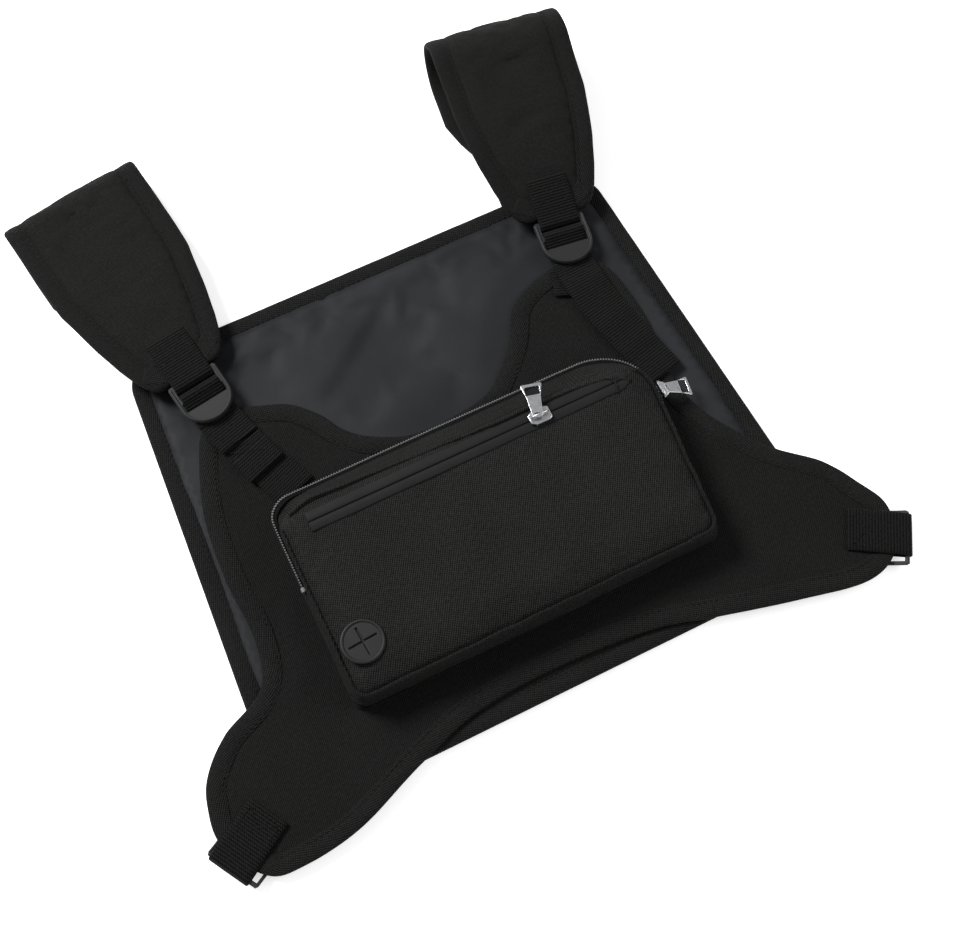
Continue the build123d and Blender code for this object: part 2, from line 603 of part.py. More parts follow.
# ---------------------------------------------------------------- side loops and rings
loop_high = FRONT_LOW + FRONT_THICK + WEB_GAP + WEB_THICK / 2
loop_low = FRONT_LOW - WEB_GAP - WEB_THICK / 2
loop_radius = (loop_high - loop_low) / 2
loop_middle = (loop_high + loop_low) / 2
loop_bar = LOOP_LENGTH - loop_radius - WEB_THICK / 2
for side, hand in (("left", -1), ("right", 1)):
    loop_dir = Vector(hand * cos(radians(LOOP_TURN)), sin(radians(LOOP_TURN)), 0)
    loop_across = Vector(-loop_dir.Y, loop_dir.X, 0)
    loop_start = Vector(hand * LOOP_START[0], LOOP_START[1], 0)
    with BuildPart() as side_loop:
        with BuildSketch(Plane(origin=loop_start, x_dir=loop_dir, z_dir=loop_across * -1)):
            with BuildLine():
                Line((0, loop_high), (loop_bar, loop_high))
                ThreePointArc((loop_bar, loop_high), (loop_bar + loop_radius, loop_middle), (loop_bar, loop_low))
                Line((loop_bar, loop_low), (7, loop_low))
            webbing_path()
        extrude(amount=WEBBING / 2, both=True)
    side_loop.part.label = f"side_loop_{side}"
    export_step(side_loop.part, f"parts/side_loop_{side}.step")

    # a rectangular ring, folded back under the wing from the bar that the loop holds
    ring_drop = radians(RING_DROP)
    inward = loop_dir * -cos(ring_drop) + Vector(0, 0, -sin(ring_drop))
    bar_place = loop_start + loop_dir * loop_bar + Vector(0, 0, loop_middle)
    ring_plane = Plane(origin=bar_place, x_dir=loop_across, z_dir=loop_across.cross(inward))
    with BuildPart() as side_ring:
        with BuildSketch(ring_plane.offset(-RING_THICK / 2)):
            with Locations((0, (RING_LENGTH + BAR_RADIUS) / 2)):
                Rectangle(LOCK_WIDTH, RING_LENGTH + BAR_RADIUS)
            with Locations((0, (RING_LENGTH - BAR_RADIUS) / 2 - 1)):
                Rectangle(WEBBING + 1, RING_LENGTH - BAR_RADIUS + 2, mode=Mode.SUBTRACT)
        extrude(amount=RING_THICK)
        with Locations(Plane(origin=bar_place, z_dir=loop_across)):
            Cylinder(BAR_RADIUS, LOCK_WIDTH)
    side_ring.part.label = f"side_ring_{side}"
    export_step(side_ring.part, f"parts/side_ring_{side}.step")
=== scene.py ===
import json
from math import asin, atan2, ceil, cos, hypot, pi, radians, sin

import bmesh
import bpy
import numpy as np
from mathutils import Matrix, Vector, geometry, noise


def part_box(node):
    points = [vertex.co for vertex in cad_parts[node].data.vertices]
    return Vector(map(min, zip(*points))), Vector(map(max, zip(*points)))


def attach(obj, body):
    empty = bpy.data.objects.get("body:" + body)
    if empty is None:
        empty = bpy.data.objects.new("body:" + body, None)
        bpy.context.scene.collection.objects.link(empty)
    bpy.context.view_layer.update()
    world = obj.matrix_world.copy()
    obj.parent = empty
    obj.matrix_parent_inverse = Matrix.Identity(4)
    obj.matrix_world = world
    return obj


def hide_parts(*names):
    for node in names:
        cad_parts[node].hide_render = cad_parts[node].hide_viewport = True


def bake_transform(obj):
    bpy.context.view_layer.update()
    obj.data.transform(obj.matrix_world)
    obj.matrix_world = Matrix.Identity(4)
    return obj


# The vest's looks. Lengths in this script are millimetres until a mesh is made.
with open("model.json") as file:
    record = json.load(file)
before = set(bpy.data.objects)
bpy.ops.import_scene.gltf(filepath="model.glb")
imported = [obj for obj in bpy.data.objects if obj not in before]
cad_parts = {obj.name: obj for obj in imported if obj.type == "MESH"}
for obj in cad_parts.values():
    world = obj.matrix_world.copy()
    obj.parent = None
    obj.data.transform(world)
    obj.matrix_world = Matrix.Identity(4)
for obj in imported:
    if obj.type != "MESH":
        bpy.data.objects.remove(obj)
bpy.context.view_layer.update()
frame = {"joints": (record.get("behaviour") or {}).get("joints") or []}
MM = 0.001
UP = Vector((0, 0, 1))


def node_top(node):
    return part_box(node)[1].z / MM


# ---------------------------------------------------------------- camera, light and floor
CAMERA_TARGET = Vector((0.0109, -0.0104, -0.0017))
CAMERA_DISTANCE = 0.8
CAMERA_TURN = radians(26.09)
CAMERA_RISE = radians(70)
CAMERA_LENS = 50.88
WORLD_LIGHT = 0.40
LIGHT_SIZE = 1.2
KEY_PLACE, KEY_POWER = (-1.25, 1.9, 2.2), 142
FILL_PLACE, FILL_POWER = (1.3, -0.5, 1.2), 9
FLOOR_GREY = (0.93, 0.93, 0.93)
FLOOR_GLOW = 0.55  # a lit table, so that the vest casts almost no shadow
FLOOR_DROP = 0.0004


def make_camera():
    data = bpy.data.cameras.new("camera")
    data.lens = CAMERA_LENS
    camera = bpy.data.objects.new("camera", data)
    bpy.context.scene.collection.objects.link(camera)
    reach = cos(CAMERA_RISE)
    away = Vector((-sin(CAMERA_TURN) * reach, -cos(CAMERA_TURN) * reach, sin(CAMERA_RISE)))
    camera.location = CAMERA_TARGET + away * CAMERA_DISTANCE
    camera.rotation_euler = (-away).to_track_quat("-Z", "Y").to_euler()
    bpy.context.scene.camera = camera


def add_light(name, place, power):
    data = bpy.data.lights.new(name, "AREA")
    data.shape = "DISK"
    data.size = LIGHT_SIZE
    data.energy = power
    light = bpy.data.objects.new(name, data)
    bpy.context.scene.collection.objects.link(light)
    light.location = place
    light.rotation_euler = Vector(place).to_track_quat("Z", "Y").to_euler()


def make_studio():
    world = bpy.data.worlds.new("studio")
    world.use_nodes = True
    world.node_tree.nodes["Background"].inputs["Color"].default_value = (1, 1, 1, 1)
    world.node_tree.nodes["Background"].inputs["Strength"].default_value = WORLD_LIGHT
    bpy.context.scene.world = world
    bpy.context.scene.view_settings.view_transform = "Standard"
    add_light("key", KEY_PLACE, KEY_POWER)
    add_light("fill", FILL_PLACE, FILL_POWER)
    bm = bmesh.new()
    bmesh.ops.create_grid(bm, x_segments=8, y_segments=8, size=4)
    mesh = bpy.data.meshes.new("floor")
    bm.to_mesh(mesh)
    bm.free()
    floor = bpy.data.objects.new("floor", mesh)
    floor.location.z = -FLOOR_DROP
    bpy.context.scene.collection.objects.link(floor)
    material, shader, _ = new_material("floor_paper", FLOOR_GREY, 0.9, 0.0)
    shader.inputs["Emission Color"].default_value = (1, 1, 1, 1)
    shader.inputs["Emission Strength"].default_value = FLOOR_GLOW
    mesh.materials.append(material)


# ---------------------------------------------------------------- materials
def new_material(name, colour, roughness, specular, metallic=0.0):
    material = bpy.data.materials.new(name)
    material.use_nodes = True
    tree = material.node_tree
    shader = tree.nodes["Principled BSDF"]
    shader.inputs["Base Color"].default_value = (*colour, 1)
    shader.inputs["Roughness"].default_value = roughness
    shader.inputs["Specular IOR Level"].default_value = specular
    shader.inputs["Metallic"].default_value = metallic
    return material, shader, tree


def add_node(tree, kind, values=None, **settings):
    node = tree.nodes.new(kind)
    for name, value in settings.items():
        setattr(node, name, value)
    for name, value in (values or {}).items():
        node.inputs[name].default_value = value
    return node


def mixed(tree, *parts):
    """The sum of sockets, each given with its weight."""
    total = None
    for socket, weight in parts:
        node = add_node(tree, "ShaderNodeMath", {1: weight, 2: 0.0}, operation="MULTIPLY_ADD")
        tree.links.new(socket, node.inputs[0])
        if total is not None:
            tree.links.new(total, node.inputs[2])
        total = node.outputs[0]
    return total


def cloth_place(tree, turn=0.0, pitch=1.0):
    """The cloth's own flat coordinates, in units of pitch millimetres, turned in its plane."""
    source = add_node(tree, "ShaderNodeUVMap", uv_map="cloth")
    scale = (1 / (pitch * MM),) * 3
    mapping = add_node(tree, "ShaderNodeMapping", {"Rotation": (0, 0, turn), "Scale": scale})
    tree.links.new(source.outputs["UV"], mapping.inputs["Vector"])
    return mapping.outputs["Vector"]


WAVE_UNIT = 0.31416  # a wave texture of this scale repeats once for each unit


def threads(tree, place, direction, wander=0.4):
    wave = add_node(
        tree, "ShaderNodeTexWave",
        {"Scale": WAVE_UNIT, "Distortion": wander, "Detail": 1.0, "Detail Scale": 0.6},
        wave_type="BANDS", bands_direction=direction, wave_profile="SIN",
    )
    tree.links.new(place, wave.inputs["Vector"])
    return wave.outputs["Fac"]


def cloudy(tree, size, detail=3.0, rough=0.55, space="cloth"):
    """Soft noise whose features are size millimetres across."""
    texture = add_node(tree, "ShaderNodeTexNoise", {"Scale": 1.0, "Detail": detail, "Roughness": rough})
    if space == "cloth":
        tree.links.new(cloth_place(tree, 0, size), texture.inputs["Vector"])
    else:
        source = add_node(tree, "ShaderNodeTexCoord")
        mapping = add_node(tree, "ShaderNodeMapping", {"Scale": (1 / (size * MM),) * 3})
        tree.links.new(source.outputs["Object"], mapping.inputs["Vector"])
        tree.links.new(mapping.outputs["Vector"], texture.inputs["Vector"])
    return texture.outputs["Fac"]


def tint(tree, shader, dark, light, factor):
    """Colours the shader from dark to light by factor."""
    mix = add_node(tree, "ShaderNodeMix", data_type="RGBA")
    colours = [socket for socket in mix.inputs if socket.type == "RGBA"]
    colours[0].default_value = (*dark, 1)
    colours[1].default_value = (*light, 1)
    tree.links.new(factor, mix.inputs["Factor"])
    result = [socket for socket in mix.outputs if socket.type == "RGBA"][0]
    tree.links.new(result, shader.inputs["Base Color"])


def bump(tree, shader, height, depth):
    """depth is the relief in millimetres."""
    node = add_node(tree, "ShaderNodeBump", {"Strength": 1.0, "Distance": depth * MM})
    tree.links.new(height, node.inputs["Height"])
    tree.links.new(node.outputs["Normal"], shader.inputs["Normal"])


def shades(colour, contrast):
    """The colour made darker and lighter by the same share."""
    return [c * (1 - contrast) for c in colour], [c * (1 + contrast) for c in colour]


def spread(tree, value, low, high, to_low=0.0, to_high=1.0):
    """value rescaled so that low gives to_low and high gives to_high."""
    limits = {"From Min": low, "From Max": high, "To Min": to_low, "To Max": to_high}
    node = add_node(tree, "ShaderNodeMapRange", limits)
    tree.links.new(value, node.inputs["Value"])
    return node.outputs["Result"]


def woven(name, colour, pitch, depth, turn=0.0, specular=0.08, rough=0.85, ribs=0.6, contrast=0.8):
    """Cloth of crossing threads: ribs is the share of the relief that runs one way, as in twill."""
    material, shader, tree = new_material(name, colour, rough, specular)
    place = cloth_place(tree, turn, pitch)
    rib, cross = threads(tree, place, "X", 0.9), threads(tree, place, "Y", 0.9)
    slub = cloudy(tree, 1.9, 2.0, 0.7)
    height = mixed(tree, (rib, ribs), (cross, 1 - ribs), (slub, 1.0))
    bump(tree, shader, height, depth)
    patchy = mixed(tree, (height, 1.0), (cloudy(tree, 45, 4.0, 0.6), 0.35))
    dark, light = shades(colour, contrast)
    tint(tree, shader, dark, light, spread(tree, patchy, 0.72, 1.62))
    return material


def ribbed_webbing(name, colour):
    """Webbing: strong cross ribs every millimetre or so, fine yarns along it."""
    material, shader, tree = new_material(name, colour, 0.78, 0.06)
    shader.inputs["Sheen Weight"].default_value = 0.02
    rib = threads(tree, cloth_place(tree, 0, 1.75), "Y", 0.5)
    yarn = threads(tree, cloth_place(tree, radians(35), 1.1), "X", 0.9)
    height = mixed(tree, (rib, 0.6), (yarn, 0.4), (cloudy(tree, 1.6, 2.0, 0.7), 1.0))
    bump(tree, shader, height, 0.5)
    dark, light = shades(colour, 0.9)
    tint(tree, shader, dark, light, spread(tree, height, 0.6, 1.4))
    return material


def coated_lining(name, colour):
    """Coated slate cloth: nearly smooth, with a faint fine weave, a soft sheen and hazy patches."""
    material, shader, tree = new_material(name, colour, 0.55, 0.11)
    place = cloth_place(tree, 0, 0.55)
    warp, weft = threads(tree, place, "X"), threads(tree, place, "Y")
    height = mixed(tree, (warp, 0.3), (weft, 0.3), (cloudy(tree, 5, 4.0, 0.6), 1.0))
    bump(tree, shader, height, 0.12)
    dark, light = shades(colour, 0.2)
    tint(tree, shader, dark, light, spread(tree, cloudy(tree, 90, 3.0, 0.5), 0.35, 0.65))
    tree.links.new(spread(tree, cloudy(tree, 25), 0, 1, 0.47, 0.62), shader.inputs["Roughness"])
    return material


def moulded(name, colour, roughness, grain, edge=0.0):
    """Moulded plastic or rubber: a fine grain, and a painted highlight that makes sharp edges lighter."""
    material, shader, tree = new_material(name, colour, roughness, 0.25)
    height = cloudy(tree, grain, 3.0, 0.6, "object")
    bump(tree, shader, height, 0.05)
    # painted highlight: sharp edges, found by pointiness, are tinted lighter, standing in for light catching
    # them
    shape = add_node(tree, "ShaderNodeNewGeometry")
    edge_highlight = spread(tree, shape.outputs["Pointiness"], 0.52, 0.62, 0.0, edge)
    dark, light = shades(colour, 0.2)
    tint(tree, shader, dark, [4 * c for c in light], mixed(tree, (height, 0.12), (edge_highlight, 1.0)))
    return material


def plated_metal(name, colour):
    """Bright plated zinc: fine scratches, dull haze in places."""
    material, shader, tree = new_material(name, colour, 0.24, 0.5, 1.0)
    scratch = cloudy(tree, 0.8, 5.0, 0.7, "object")
    bump(tree, shader, scratch, 0.04)
    haze = cloudy(tree, 3.0, 4.0, 0.6, "object")
    tree.links.new(spread(tree, haze, 0, 1, 0.14, 0.42), shader.inputs["Roughness"])
    dark, light = shades(colour, 0.12)
    tint(tree, shader, dark, light, cloudy(tree, 4.0, 3.0, 0.6, "object"))
    return material


CANVAS = woven("pocket_canvas", (0.0122, 0.0122, 0.0118), 1.2, 0.40, radians(32), ribs=0.65)
PANEL_CANVAS = woven("panel_canvas", (0.0080, 0.0080, 0.0077), 1.0, 0.34, radians(40), contrast=0.65)
STRAP_CANVAS = woven("strap_canvas", (0.0098, 0.0098, 0.0094), 1.0, 0.30, radians(38), contrast=0.6)
EDGE_TAPE = woven("edge_tape", (0.0086, 0.0086, 0.0083), 1.2, 0.45, radians(20), specular=0.10)
WEBBING = ribbed_webbing("webbing", (0.0060, 0.0060, 0.0058))
LINING = coated_lining("slate_lining", (0.0150, 0.0156, 0.0178))
COATED_TAPE = coated_lining("coated_tape", (0.0095, 0.0096, 0.0100))
ZIP_TAPE = woven("zip_tape", (0.0050, 0.0050, 0.0050), 0.8, 0.2, specular=0.05)
THREAD = woven("thread", (0.0120, 0.0120, 0.0118), 0.5, 0.15, radians(30), specular=0.15, rough=0.6)
LOCK_PLASTIC = moulded("lock_plastic", (0.0100, 0.0102, 0.0110), 0.58, 0.6, 0.14)
RUBBER = moulded("port_rubber", (0.0080, 0.0082, 0.0088), 0.55, 0.5, 0.10)
TEETH = moulded("zip_teeth", (0.085, 0.085, 0.088), 0.35, 0.4, 0.2)
METAL = plated_metal("zip_metal", (0.58, 0.585, 0.60))


# ---------------------------------------------------------------- making meshes
def as_piece(name, mesh, material, slot):
    """An object in the scene made of one mesh and one material."""
    mesh.materials.clear()
    mesh.materials.append(material)
    piece = bpy.data.objects.new(name, mesh)
    bpy.context.scene.collection.objects.link(piece)
    return piece


def ride_all(body, *pieces):
    """Pieces that move with one body."""
    for piece in pieces:
        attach(piece, body)


def add_piece(name, points, faces, material, slot, cloth=None, smooth=True):
    """A piece from points in millimetres. cloth is each point's place on the flat cloth."""
    mesh = bpy.data.meshes.new(name)
    mesh.from_pydata([tuple(MM * c for c in p) for p in points], [], faces)
    bm = bmesh.new()
    bm.from_mesh(mesh)
    bmesh.ops.recalc_face_normals(bm, faces=bm.faces)
    bm.to_mesh(mesh)
    bm.free()
    if cloth is not None:
        layer = mesh.uv_layers.new(name="cloth")
        flat = [cloth[loop.vertex_index] for loop in mesh.loops]
        layer.data.foreach_set("uv", [c * MM for uv in flat for c in uv])
    mesh.polygons.foreach_set("use_smooth", [smooth] * len(mesh.polygons))
    return as_piece(name, mesh, material, slot)


def grid_faces(rows, size, closed=True, base=0):
    """Quads between rows of size points each, numbered one row after another from base."""
    faces = []
    for row in range(rows - 1):
        here, beyond = base + row * size, base + (row + 1) * size
        for k in range(size if closed else size - 1):
            m = (k + 1) % size
            faces.append((here + k, here + m, beyond + m, beyond + k))
    return faces


def distances(line):
    """How far along a line each of its points is."""
    return np.concatenate([[0], np.cumsum(np.linalg.norm(np.diff(np.array(line), axis=0), axis=1))])


def coordinates(mesh):
    """The mesh's points in metres, one row each."""
    values = np.zeros(3 * len(mesh.vertices))
    mesh.vertices.foreach_get("co", values)
    return values.reshape(-1, 3)


def edge_gap(points, loop):
    """How far each point is from the nearest point of a closed line."""
    points, loop = np.array(points, float)[:, :2], np.array(loop, float)[:, :2]
    gaps = np.empty(len(points))
    for start in range(0, len(points), 2000):
        part = points[start:start + 2000, None, :] - loop[None]
        gaps[start:start + 2000] = np.sqrt((part ** 2).sum(2)).min(1)
    return gaps


def within(points, loop):
    """Which points are inside a closed line."""
    x, y = points[:, 0], points[:, 1]
    inside = np.zeros(len(points), bool)
    for (x0, y0), (x1, y1) in zip(loop, np.roll(loop, -1, 0)):
        if y0 != y1:
            inside ^= ((y0 > y) != (y1 > y)) & (x < (x1 - x0) * (y - y0) / (y1 - y0) + x0)
    return inside


def fill(loop, spacing):
    """Triangles inside a closed flat line: its own points and an even grid of points within it."""
    edge = np.array([(p[0], p[1]) for p in loop])
    low, high = edge.min(0), edge.max(0)
    grid = [
        (x, y)
        for row, y in enumerate(np.arange(low[1], high[1], spacing * 0.866))
        for x in np.arange(low[0] + (row % 2) * spacing / 2, high[0], spacing)
    ]
    grid = np.array(grid)
    grid = grid[within(grid, edge)]
    grid = grid[edge_gap(grid, edge) > 0.65 * spacing]
    ring = [(n, (n + 1) % len(edge)) for n in range(len(edge))]
    made = geometry.delaunay_2d_cdt([Vector(p) for p in (*edge, *grid)], ring, [], 1, 1e-7)
    return [(p.x, p.y) for p in made[0]], [tuple(face) for face in made[2]]


def pad(name, loop, spacing, top, low, place, material, slot):
    """A closed soft slab inside loop. top and low give a point's height from its place and its edge gap."""
    flat, triangles = fill(loop, spacing)
    gaps = edge_gap(flat, loop)
    upper = [place(x, y, top(x, y, gap)) for (x, y), gap in zip(flat, gaps)]
    under = [place(x, y, low(x, y, gap)) for (x, y), gap in zip(flat, gaps)]
    count = len(flat)
    faces = list(triangles) + [tuple(count + i for i in reversed(face)) for face in triangles]
    rim = len(loop)
    faces += [(n, (n + 1) % rim, count + (n + 1) % rim, count + n) for n in range(rim)]
    piece = add_piece(name, upper + under, faces, material, slot, flat + flat)
    piece["edge_gap"] = [float(g) for g in gaps] * 2
    return piece


CLOTH_FRAMES = 14


def simulate(piece, held_within, pressure, cap, grow):
    """Lets the piece swell as cloth. Its edge, held_within wide, stays. No point moves further than cap."""
    gaps = np.array(piece["edge_gap"])
    del piece["edge_gap"]
    start = coordinates(piece.data)
    held = piece.vertex_groups.new(name="held")
    held.add([int(n) for n in np.nonzero(gaps <= held_within)[0]], 1.0, "REPLACE")
    modifier = piece.modifiers.new("cloth", "CLOTH")
    settings = modifier.settings
    settings.quality = 5
    settings.mass = 0.15
    settings.tension_stiffness = 12
    settings.compression_stiffness = 12
    settings.shear_stiffness = 5
    settings.bending_stiffness = 0.25
    settings.vertex_group_mass = "held"
    settings.shrink_min = -grow
    settings.shrink_max = -grow
    settings.use_pressure = pressure != 0
    settings.uniform_pressure_force = pressure
    settings.effector_weights.gravity = 0
    modifier.collision_settings.use_collision = False
    modifier.point_cache.frame_start = 1
    modifier.point_cache.frame_end = CLOTH_FRAMES
    scene = bpy.context.scene
    for step in range(1, CLOTH_FRAMES + 1):
        scene.frame_set(step)
    shaped = piece.evaluated_get(bpy.context.evaluated_depsgraph_get())
    move = coordinates(shaped.data) - start
    piece.modifiers.remove(modifier)
    piece.vertex_groups.clear()
    scene.frame_set(1)
    length = np.maximum(np.linalg.norm(move, axis=1), 1e-9)
    soft_cap = cap * MM * np.tanh(length / (cap * MM)) / length
    piece.data.vertices.foreach_set("co", (start + move * soft_cap[:, None]).ravel())
    piece.data.update()


def offset_loop(loop, inset):
    """A smooth closed line moved in by inset, point for point. The line runs anticlockwise."""
    points = np.array([(p[0], p[1]) for p in loop])
    along = np.roll(points, -1, 0) - np.roll(points, 1, 0)
    along /= np.linalg.norm(along, axis=1)[:, None]
    inward = np.stack([-along[:, 1], along[:, 0]], 1)
    return [tuple(p) for p in points + inward * inset]


def between(a, b, c, d, t):
    """The point at share t from b to c on a smooth curve through a, b, c and d."""
    straight = 2 * b + (c - a) * t
    return 0.5 * (straight + (2 * a - 5 * b + 4 * c - d) * t ** 2 + (3 * b - a - 3 * c + d) * t ** 3)


def smooth_line(points, step=2.0):
    """An open curve through given points."""
    control = [Vector(p) for p in points]
    control = [2 * control[0] - control[1], *control, 2 * control[-1] - control[-2]]
    dense = []
    for a, b, c, d in zip(control, control[1:], control[2:], control[3:]):
        dense += [between(a, b, c, d, t) for t in np.linspace(0, 1, 12, endpoint=False)]
    return resample([*dense, control[-2]], step)


def smooth_loop(points, step):
    """A closed curve through given points, with a point every step millimetres."""
    control = [Vector(p) for p in points]
    dense = []
    for n in range(len(control)):
        a, b, c, d = (control[(n + k) % len(control)] for k in (-1, 0, 1, 2))
        dense += [between(a, b, c, d, t) for t in np.linspace(0, 1, 24, endpoint=False)]
    return resample(dense, step, closed=True)


def resample(points, step, closed=False):
    """The same line with evenly spaced points."""
    line = np.array([tuple(p) for p in points])
    if closed:
        line = np.vstack([line, line[:1]])
    lengths = distances(line)
    count = max(2, ceil(lengths[-1] / step))
    wanted = np.linspace(0, lengths[-1], count + 1)
    out = np.stack([np.interp(wanted, lengths, line[:, k]) for k in range(line.shape[1])], 1)
    return [tuple(p) for p in (out[:-1] if closed else out)]


LEAST_CORNER = 0.8


def corner_loop(corners, radii, inset=0.0, step=3.0):
    """A polygon with rounded corners, moved in by inset. Every inset has the same count of points."""
    count = len(corners)
    base = [Vector(c) for c in corners]
    sides = [(base[(n + 1) % count] - base[n]).normalized() for n in range(count)]
    moved = []
    for n in range(count):
        a, b = sides[n - 1], sides[n]
        turn = a.angle_signed(b)
        normal = (Vector((-a.y, a.x)) + Vector((-b.y, b.x))).normalized()
        moved.append(base[n] + normal * inset / cos(turn / 2))
    arcs = []
    for n in range(count):
        a, b = sides[n - 1], sides[n]
        turn = abs(a.angle_signed(b))
        radius = max(radii[n] - inset, LEAST_CORNER)
        reach = radius * abs(sin(turn / 2) / cos(turn / 2))
        centre = moved[n] - a * reach + Vector((-a.y, a.x)) * radius
        steps = max(5, ceil(radii[n] * turn / step))
        first = atan2(-a.x, a.y)
        angles = [first + turn * k / steps for k in range(steps + 1)]
        arcs.append([centre + Vector((cos(angle), sin(angle))) * radius for angle in angles])
    loop = []
    for n in range(count):
        loop += arcs[n]
        start, end = arcs[n][-1], arcs[(n + 1) % count][0]
        pieces = max(2, ceil((base[(n + 1) % count] - base[n]).length / step))
        loop += [start.lerp(end, k / pieces) for k in range(1, pieces)]
    return [tuple(p) for p in loop]


def sweep_band(name, loop_at, profile, place, material, slot, closed=True, wave=0.25):
    """Tape folded round an edge. profile is (inset, height), from the top's inner edge to the underside's."""
    rings = [loop_at(inset) for inset, _ in profile]
    count = len(rings[0])
    points, cloth = [], []
    run = distances(rings[len(profile) // 2])
    for ring, (_, height), width in zip(rings, profile, distances(profile)):
        for n, (x, y) in enumerate(ring):
            ripple = wave * noise.noise(Vector((x / 9, y / 9, height * 0.05)))
            points.append(place(x, y, height + ripple * (1 if height > profile[-1][1] + 1 else 0)))
            cloth.append((width, run[n]))
    faces = grid_faces(len(profile), count, closed)
    if not closed:
        last = len(profile) - 1
        faces += [[k * count for k in range(last, -1, -1)], [k * count + count - 1 for k in range(last + 1)]]
    return add_piece(name, points, faces, material, slot, cloth)


def stitches(name, runs, slot, length=2.3, gap=1.0, width=0.55, rise=0.22):
    """Rows of thread stitches. Each run is a list of (point, normal)."""
    points, faces, cloth = [], [], []
    for run in runs:
        line = np.array([tuple(p) for p, _ in run])
        ups = np.array([tuple(n) for _, n in run])
        at = distances(line)
        for start in np.arange(0.5, at[-1] - length, length + gap):
            ends = []
            for reach in (start, start + length / 2, start + length):
                ends.append(Vector([np.interp(reach, at, line[:, k]) for k in range(3)]))
            up = Vector([np.interp(start, at, ups[:, k]) for k in range(3)]).normalized()
            along = (ends[2] - ends[0]).normalized()
            side = along.cross(up).normalized()
            base = len(points)
            for middle, wide, high in ((ends[0], 0.5, -0.3), (ends[1], 1.0, 1.0), (ends[2], 0.5, -0.3)):
                for turn in range(4):
                    angle = pi / 2 * turn + pi / 4
                    lift = sin(angle) * width / 2 * wide + rise * high
                    points.append(middle + side * cos(angle) * width / 2 * wide + up * lift)
                    cloth.append((turn * 0.4, start + len(points) % 12))
            faces += grid_faces(3, 4, base=base)
            faces += [(base, base + 1, base + 2, base + 3), (base + 11, base + 10, base + 9, base + 8)]
    return add_piece(name, points, faces, THREAD, slot, cloth)


def row_of(loop, place, height, closed=True):
    """A line of points and upward normals for stitches, at height over a surface."""
    line = list(loop) + ([loop[0]] if closed else [])
    return [(place(x, y, height), place(x, y, height + 1) - place(x, y, height)) for x, y in line]


WEB = 25.0
WEB_THICK = 1.2
RIBBON_STEP = 1.2


def ribbon(
    name, route, across, body, width=WEB, thick=WEB_THICK, slot="webbing", material=WEBBING, round_edge=0.45,
    wave=0.0,
):
    """Webbing along a route of points. across is its width direction, one vector or one for each end."""
    path = [Vector(p) for p in resample(route, RIBBON_STEP)]
    first, last = (across, across) if isinstance(across, Vector) else across
    half, deep = width / 2, thick / 2
    flat = np.linspace(-half + round_edge, half - round_edge, 9)
    section = [*((u, deep) for u in flat), (half, 0), *((-u, -deep) for u in flat), (-half, 0)]
    points, cloth = [], []
    run = 0.0
    for n, p in enumerate(path):
        if n:
            run += (p - path[n - 1]).length
        t = (path[min(n + 1, len(path) - 1)] - path[max(n - 1, 0)]).normalized()
        side = first.lerp(last, n / (len(path) - 1))
        side = (side - t * side.dot(t)).normalized()
        up = side.cross(t)
        lift = wave * noise.noise(Vector((run / 11, 3.7, 0.2)))
        for u, h in section:
            points.append(p + side * u + up * (h + lift))
            cloth.append((u + (0.3 if h < 0 else 0), run))
    size = len(section)
    faces = grid_faces(len(path), size)
    faces += [list(range(size - 1, -1, -1)), [(len(path) - 1) * size + k for k in range(size)]]
    piece = add_piece(name, points, faces, material, slot, cloth)
    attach(piece, body)
    return piece


def add_spline(curve, places, closed):
    spline = curve.splines.new("POLY")
    spline.points.add(len(places) - 1)
    for point, place in zip(spline.points, places):
        point.co = (*place, 1)
    spline.use_cyclic_u = closed


def mesh_of(name, curve):
    holder = bpy.data.objects.new(name, curve)
    mesh = bpy.data.meshes.new_from_object(holder)
    bpy.data.objects.remove(holder)
    return mesh


def tube(name, route, radius, material, slot, closed=False, sides=10):
    """A round cord or rim along points given in millimetres."""
    curve = bpy.data.curves.new(name, "CURVE")
    curve.dimensions = "3D"
    curve.bevel_depth = radius * MM
    curve.bevel_resolution = sides // 4
    curve.use_fill_caps = True
    add_spline(curve, [[c * MM for c in place] for place in route], closed)
    mesh = mesh_of(name, curve)
    mesh.polygons.foreach_set("use_smooth", [True] * len(mesh.polygons))
    layer = mesh.uv_layers.new(name="cloth") if "cloth" not in mesh.uv_layers else mesh.uv_layers["cloth"]
    co = coordinates(mesh)
    for loop in mesh.loops:
        x, y, z = co[loop.vertex_index]
        layer.data[loop.index].uv = (x + z, y + z)
    return as_piece(name, mesh, material, slot)


def plate(name, loops, thick, bevel, matrix, material, slot):
    """A flat plate with holes and rounded edges, placed by matrix. The first loop is its outline."""
    curve = bpy.data.curves.new(name, "CURVE")
    curve.dimensions = "2D"
    curve.fill_mode = "BOTH"
    curve.extrude = thick / 2 - bevel
    curve.bevel_depth = bevel
    curve.bevel_resolution = 2
    curve.offset = -bevel
    for loop in loops:
        add_spline(curve, [(x, y, 0) for x, y in loop], closed=True)
    mesh = mesh_of(name, curve)
    mesh.transform(Matrix.Scale(MM, 4) @ matrix)
    bm = bmesh.new()
    bm.from_mesh(mesh)
    bmesh.ops.remove_doubles(bm, verts=bm.verts, dist=1e-6)
    bmesh.ops.recalc_face_normals(bm, faces=bm.faces)
    bm.to_mesh(mesh)
    bm.free()
    return as_piece(name, mesh, material, slot)


def basis(origin, x_dir, y_dir):
    """The matrix of a plane with its own X and Y."""
    z_dir = x_dir.cross(y_dir).normalized()
    turn = Matrix((x_dir.normalized(), y_dir.normalized(), z_dir)).transposed().to_4x4()
    return Matrix.Translation(origin) @ turn


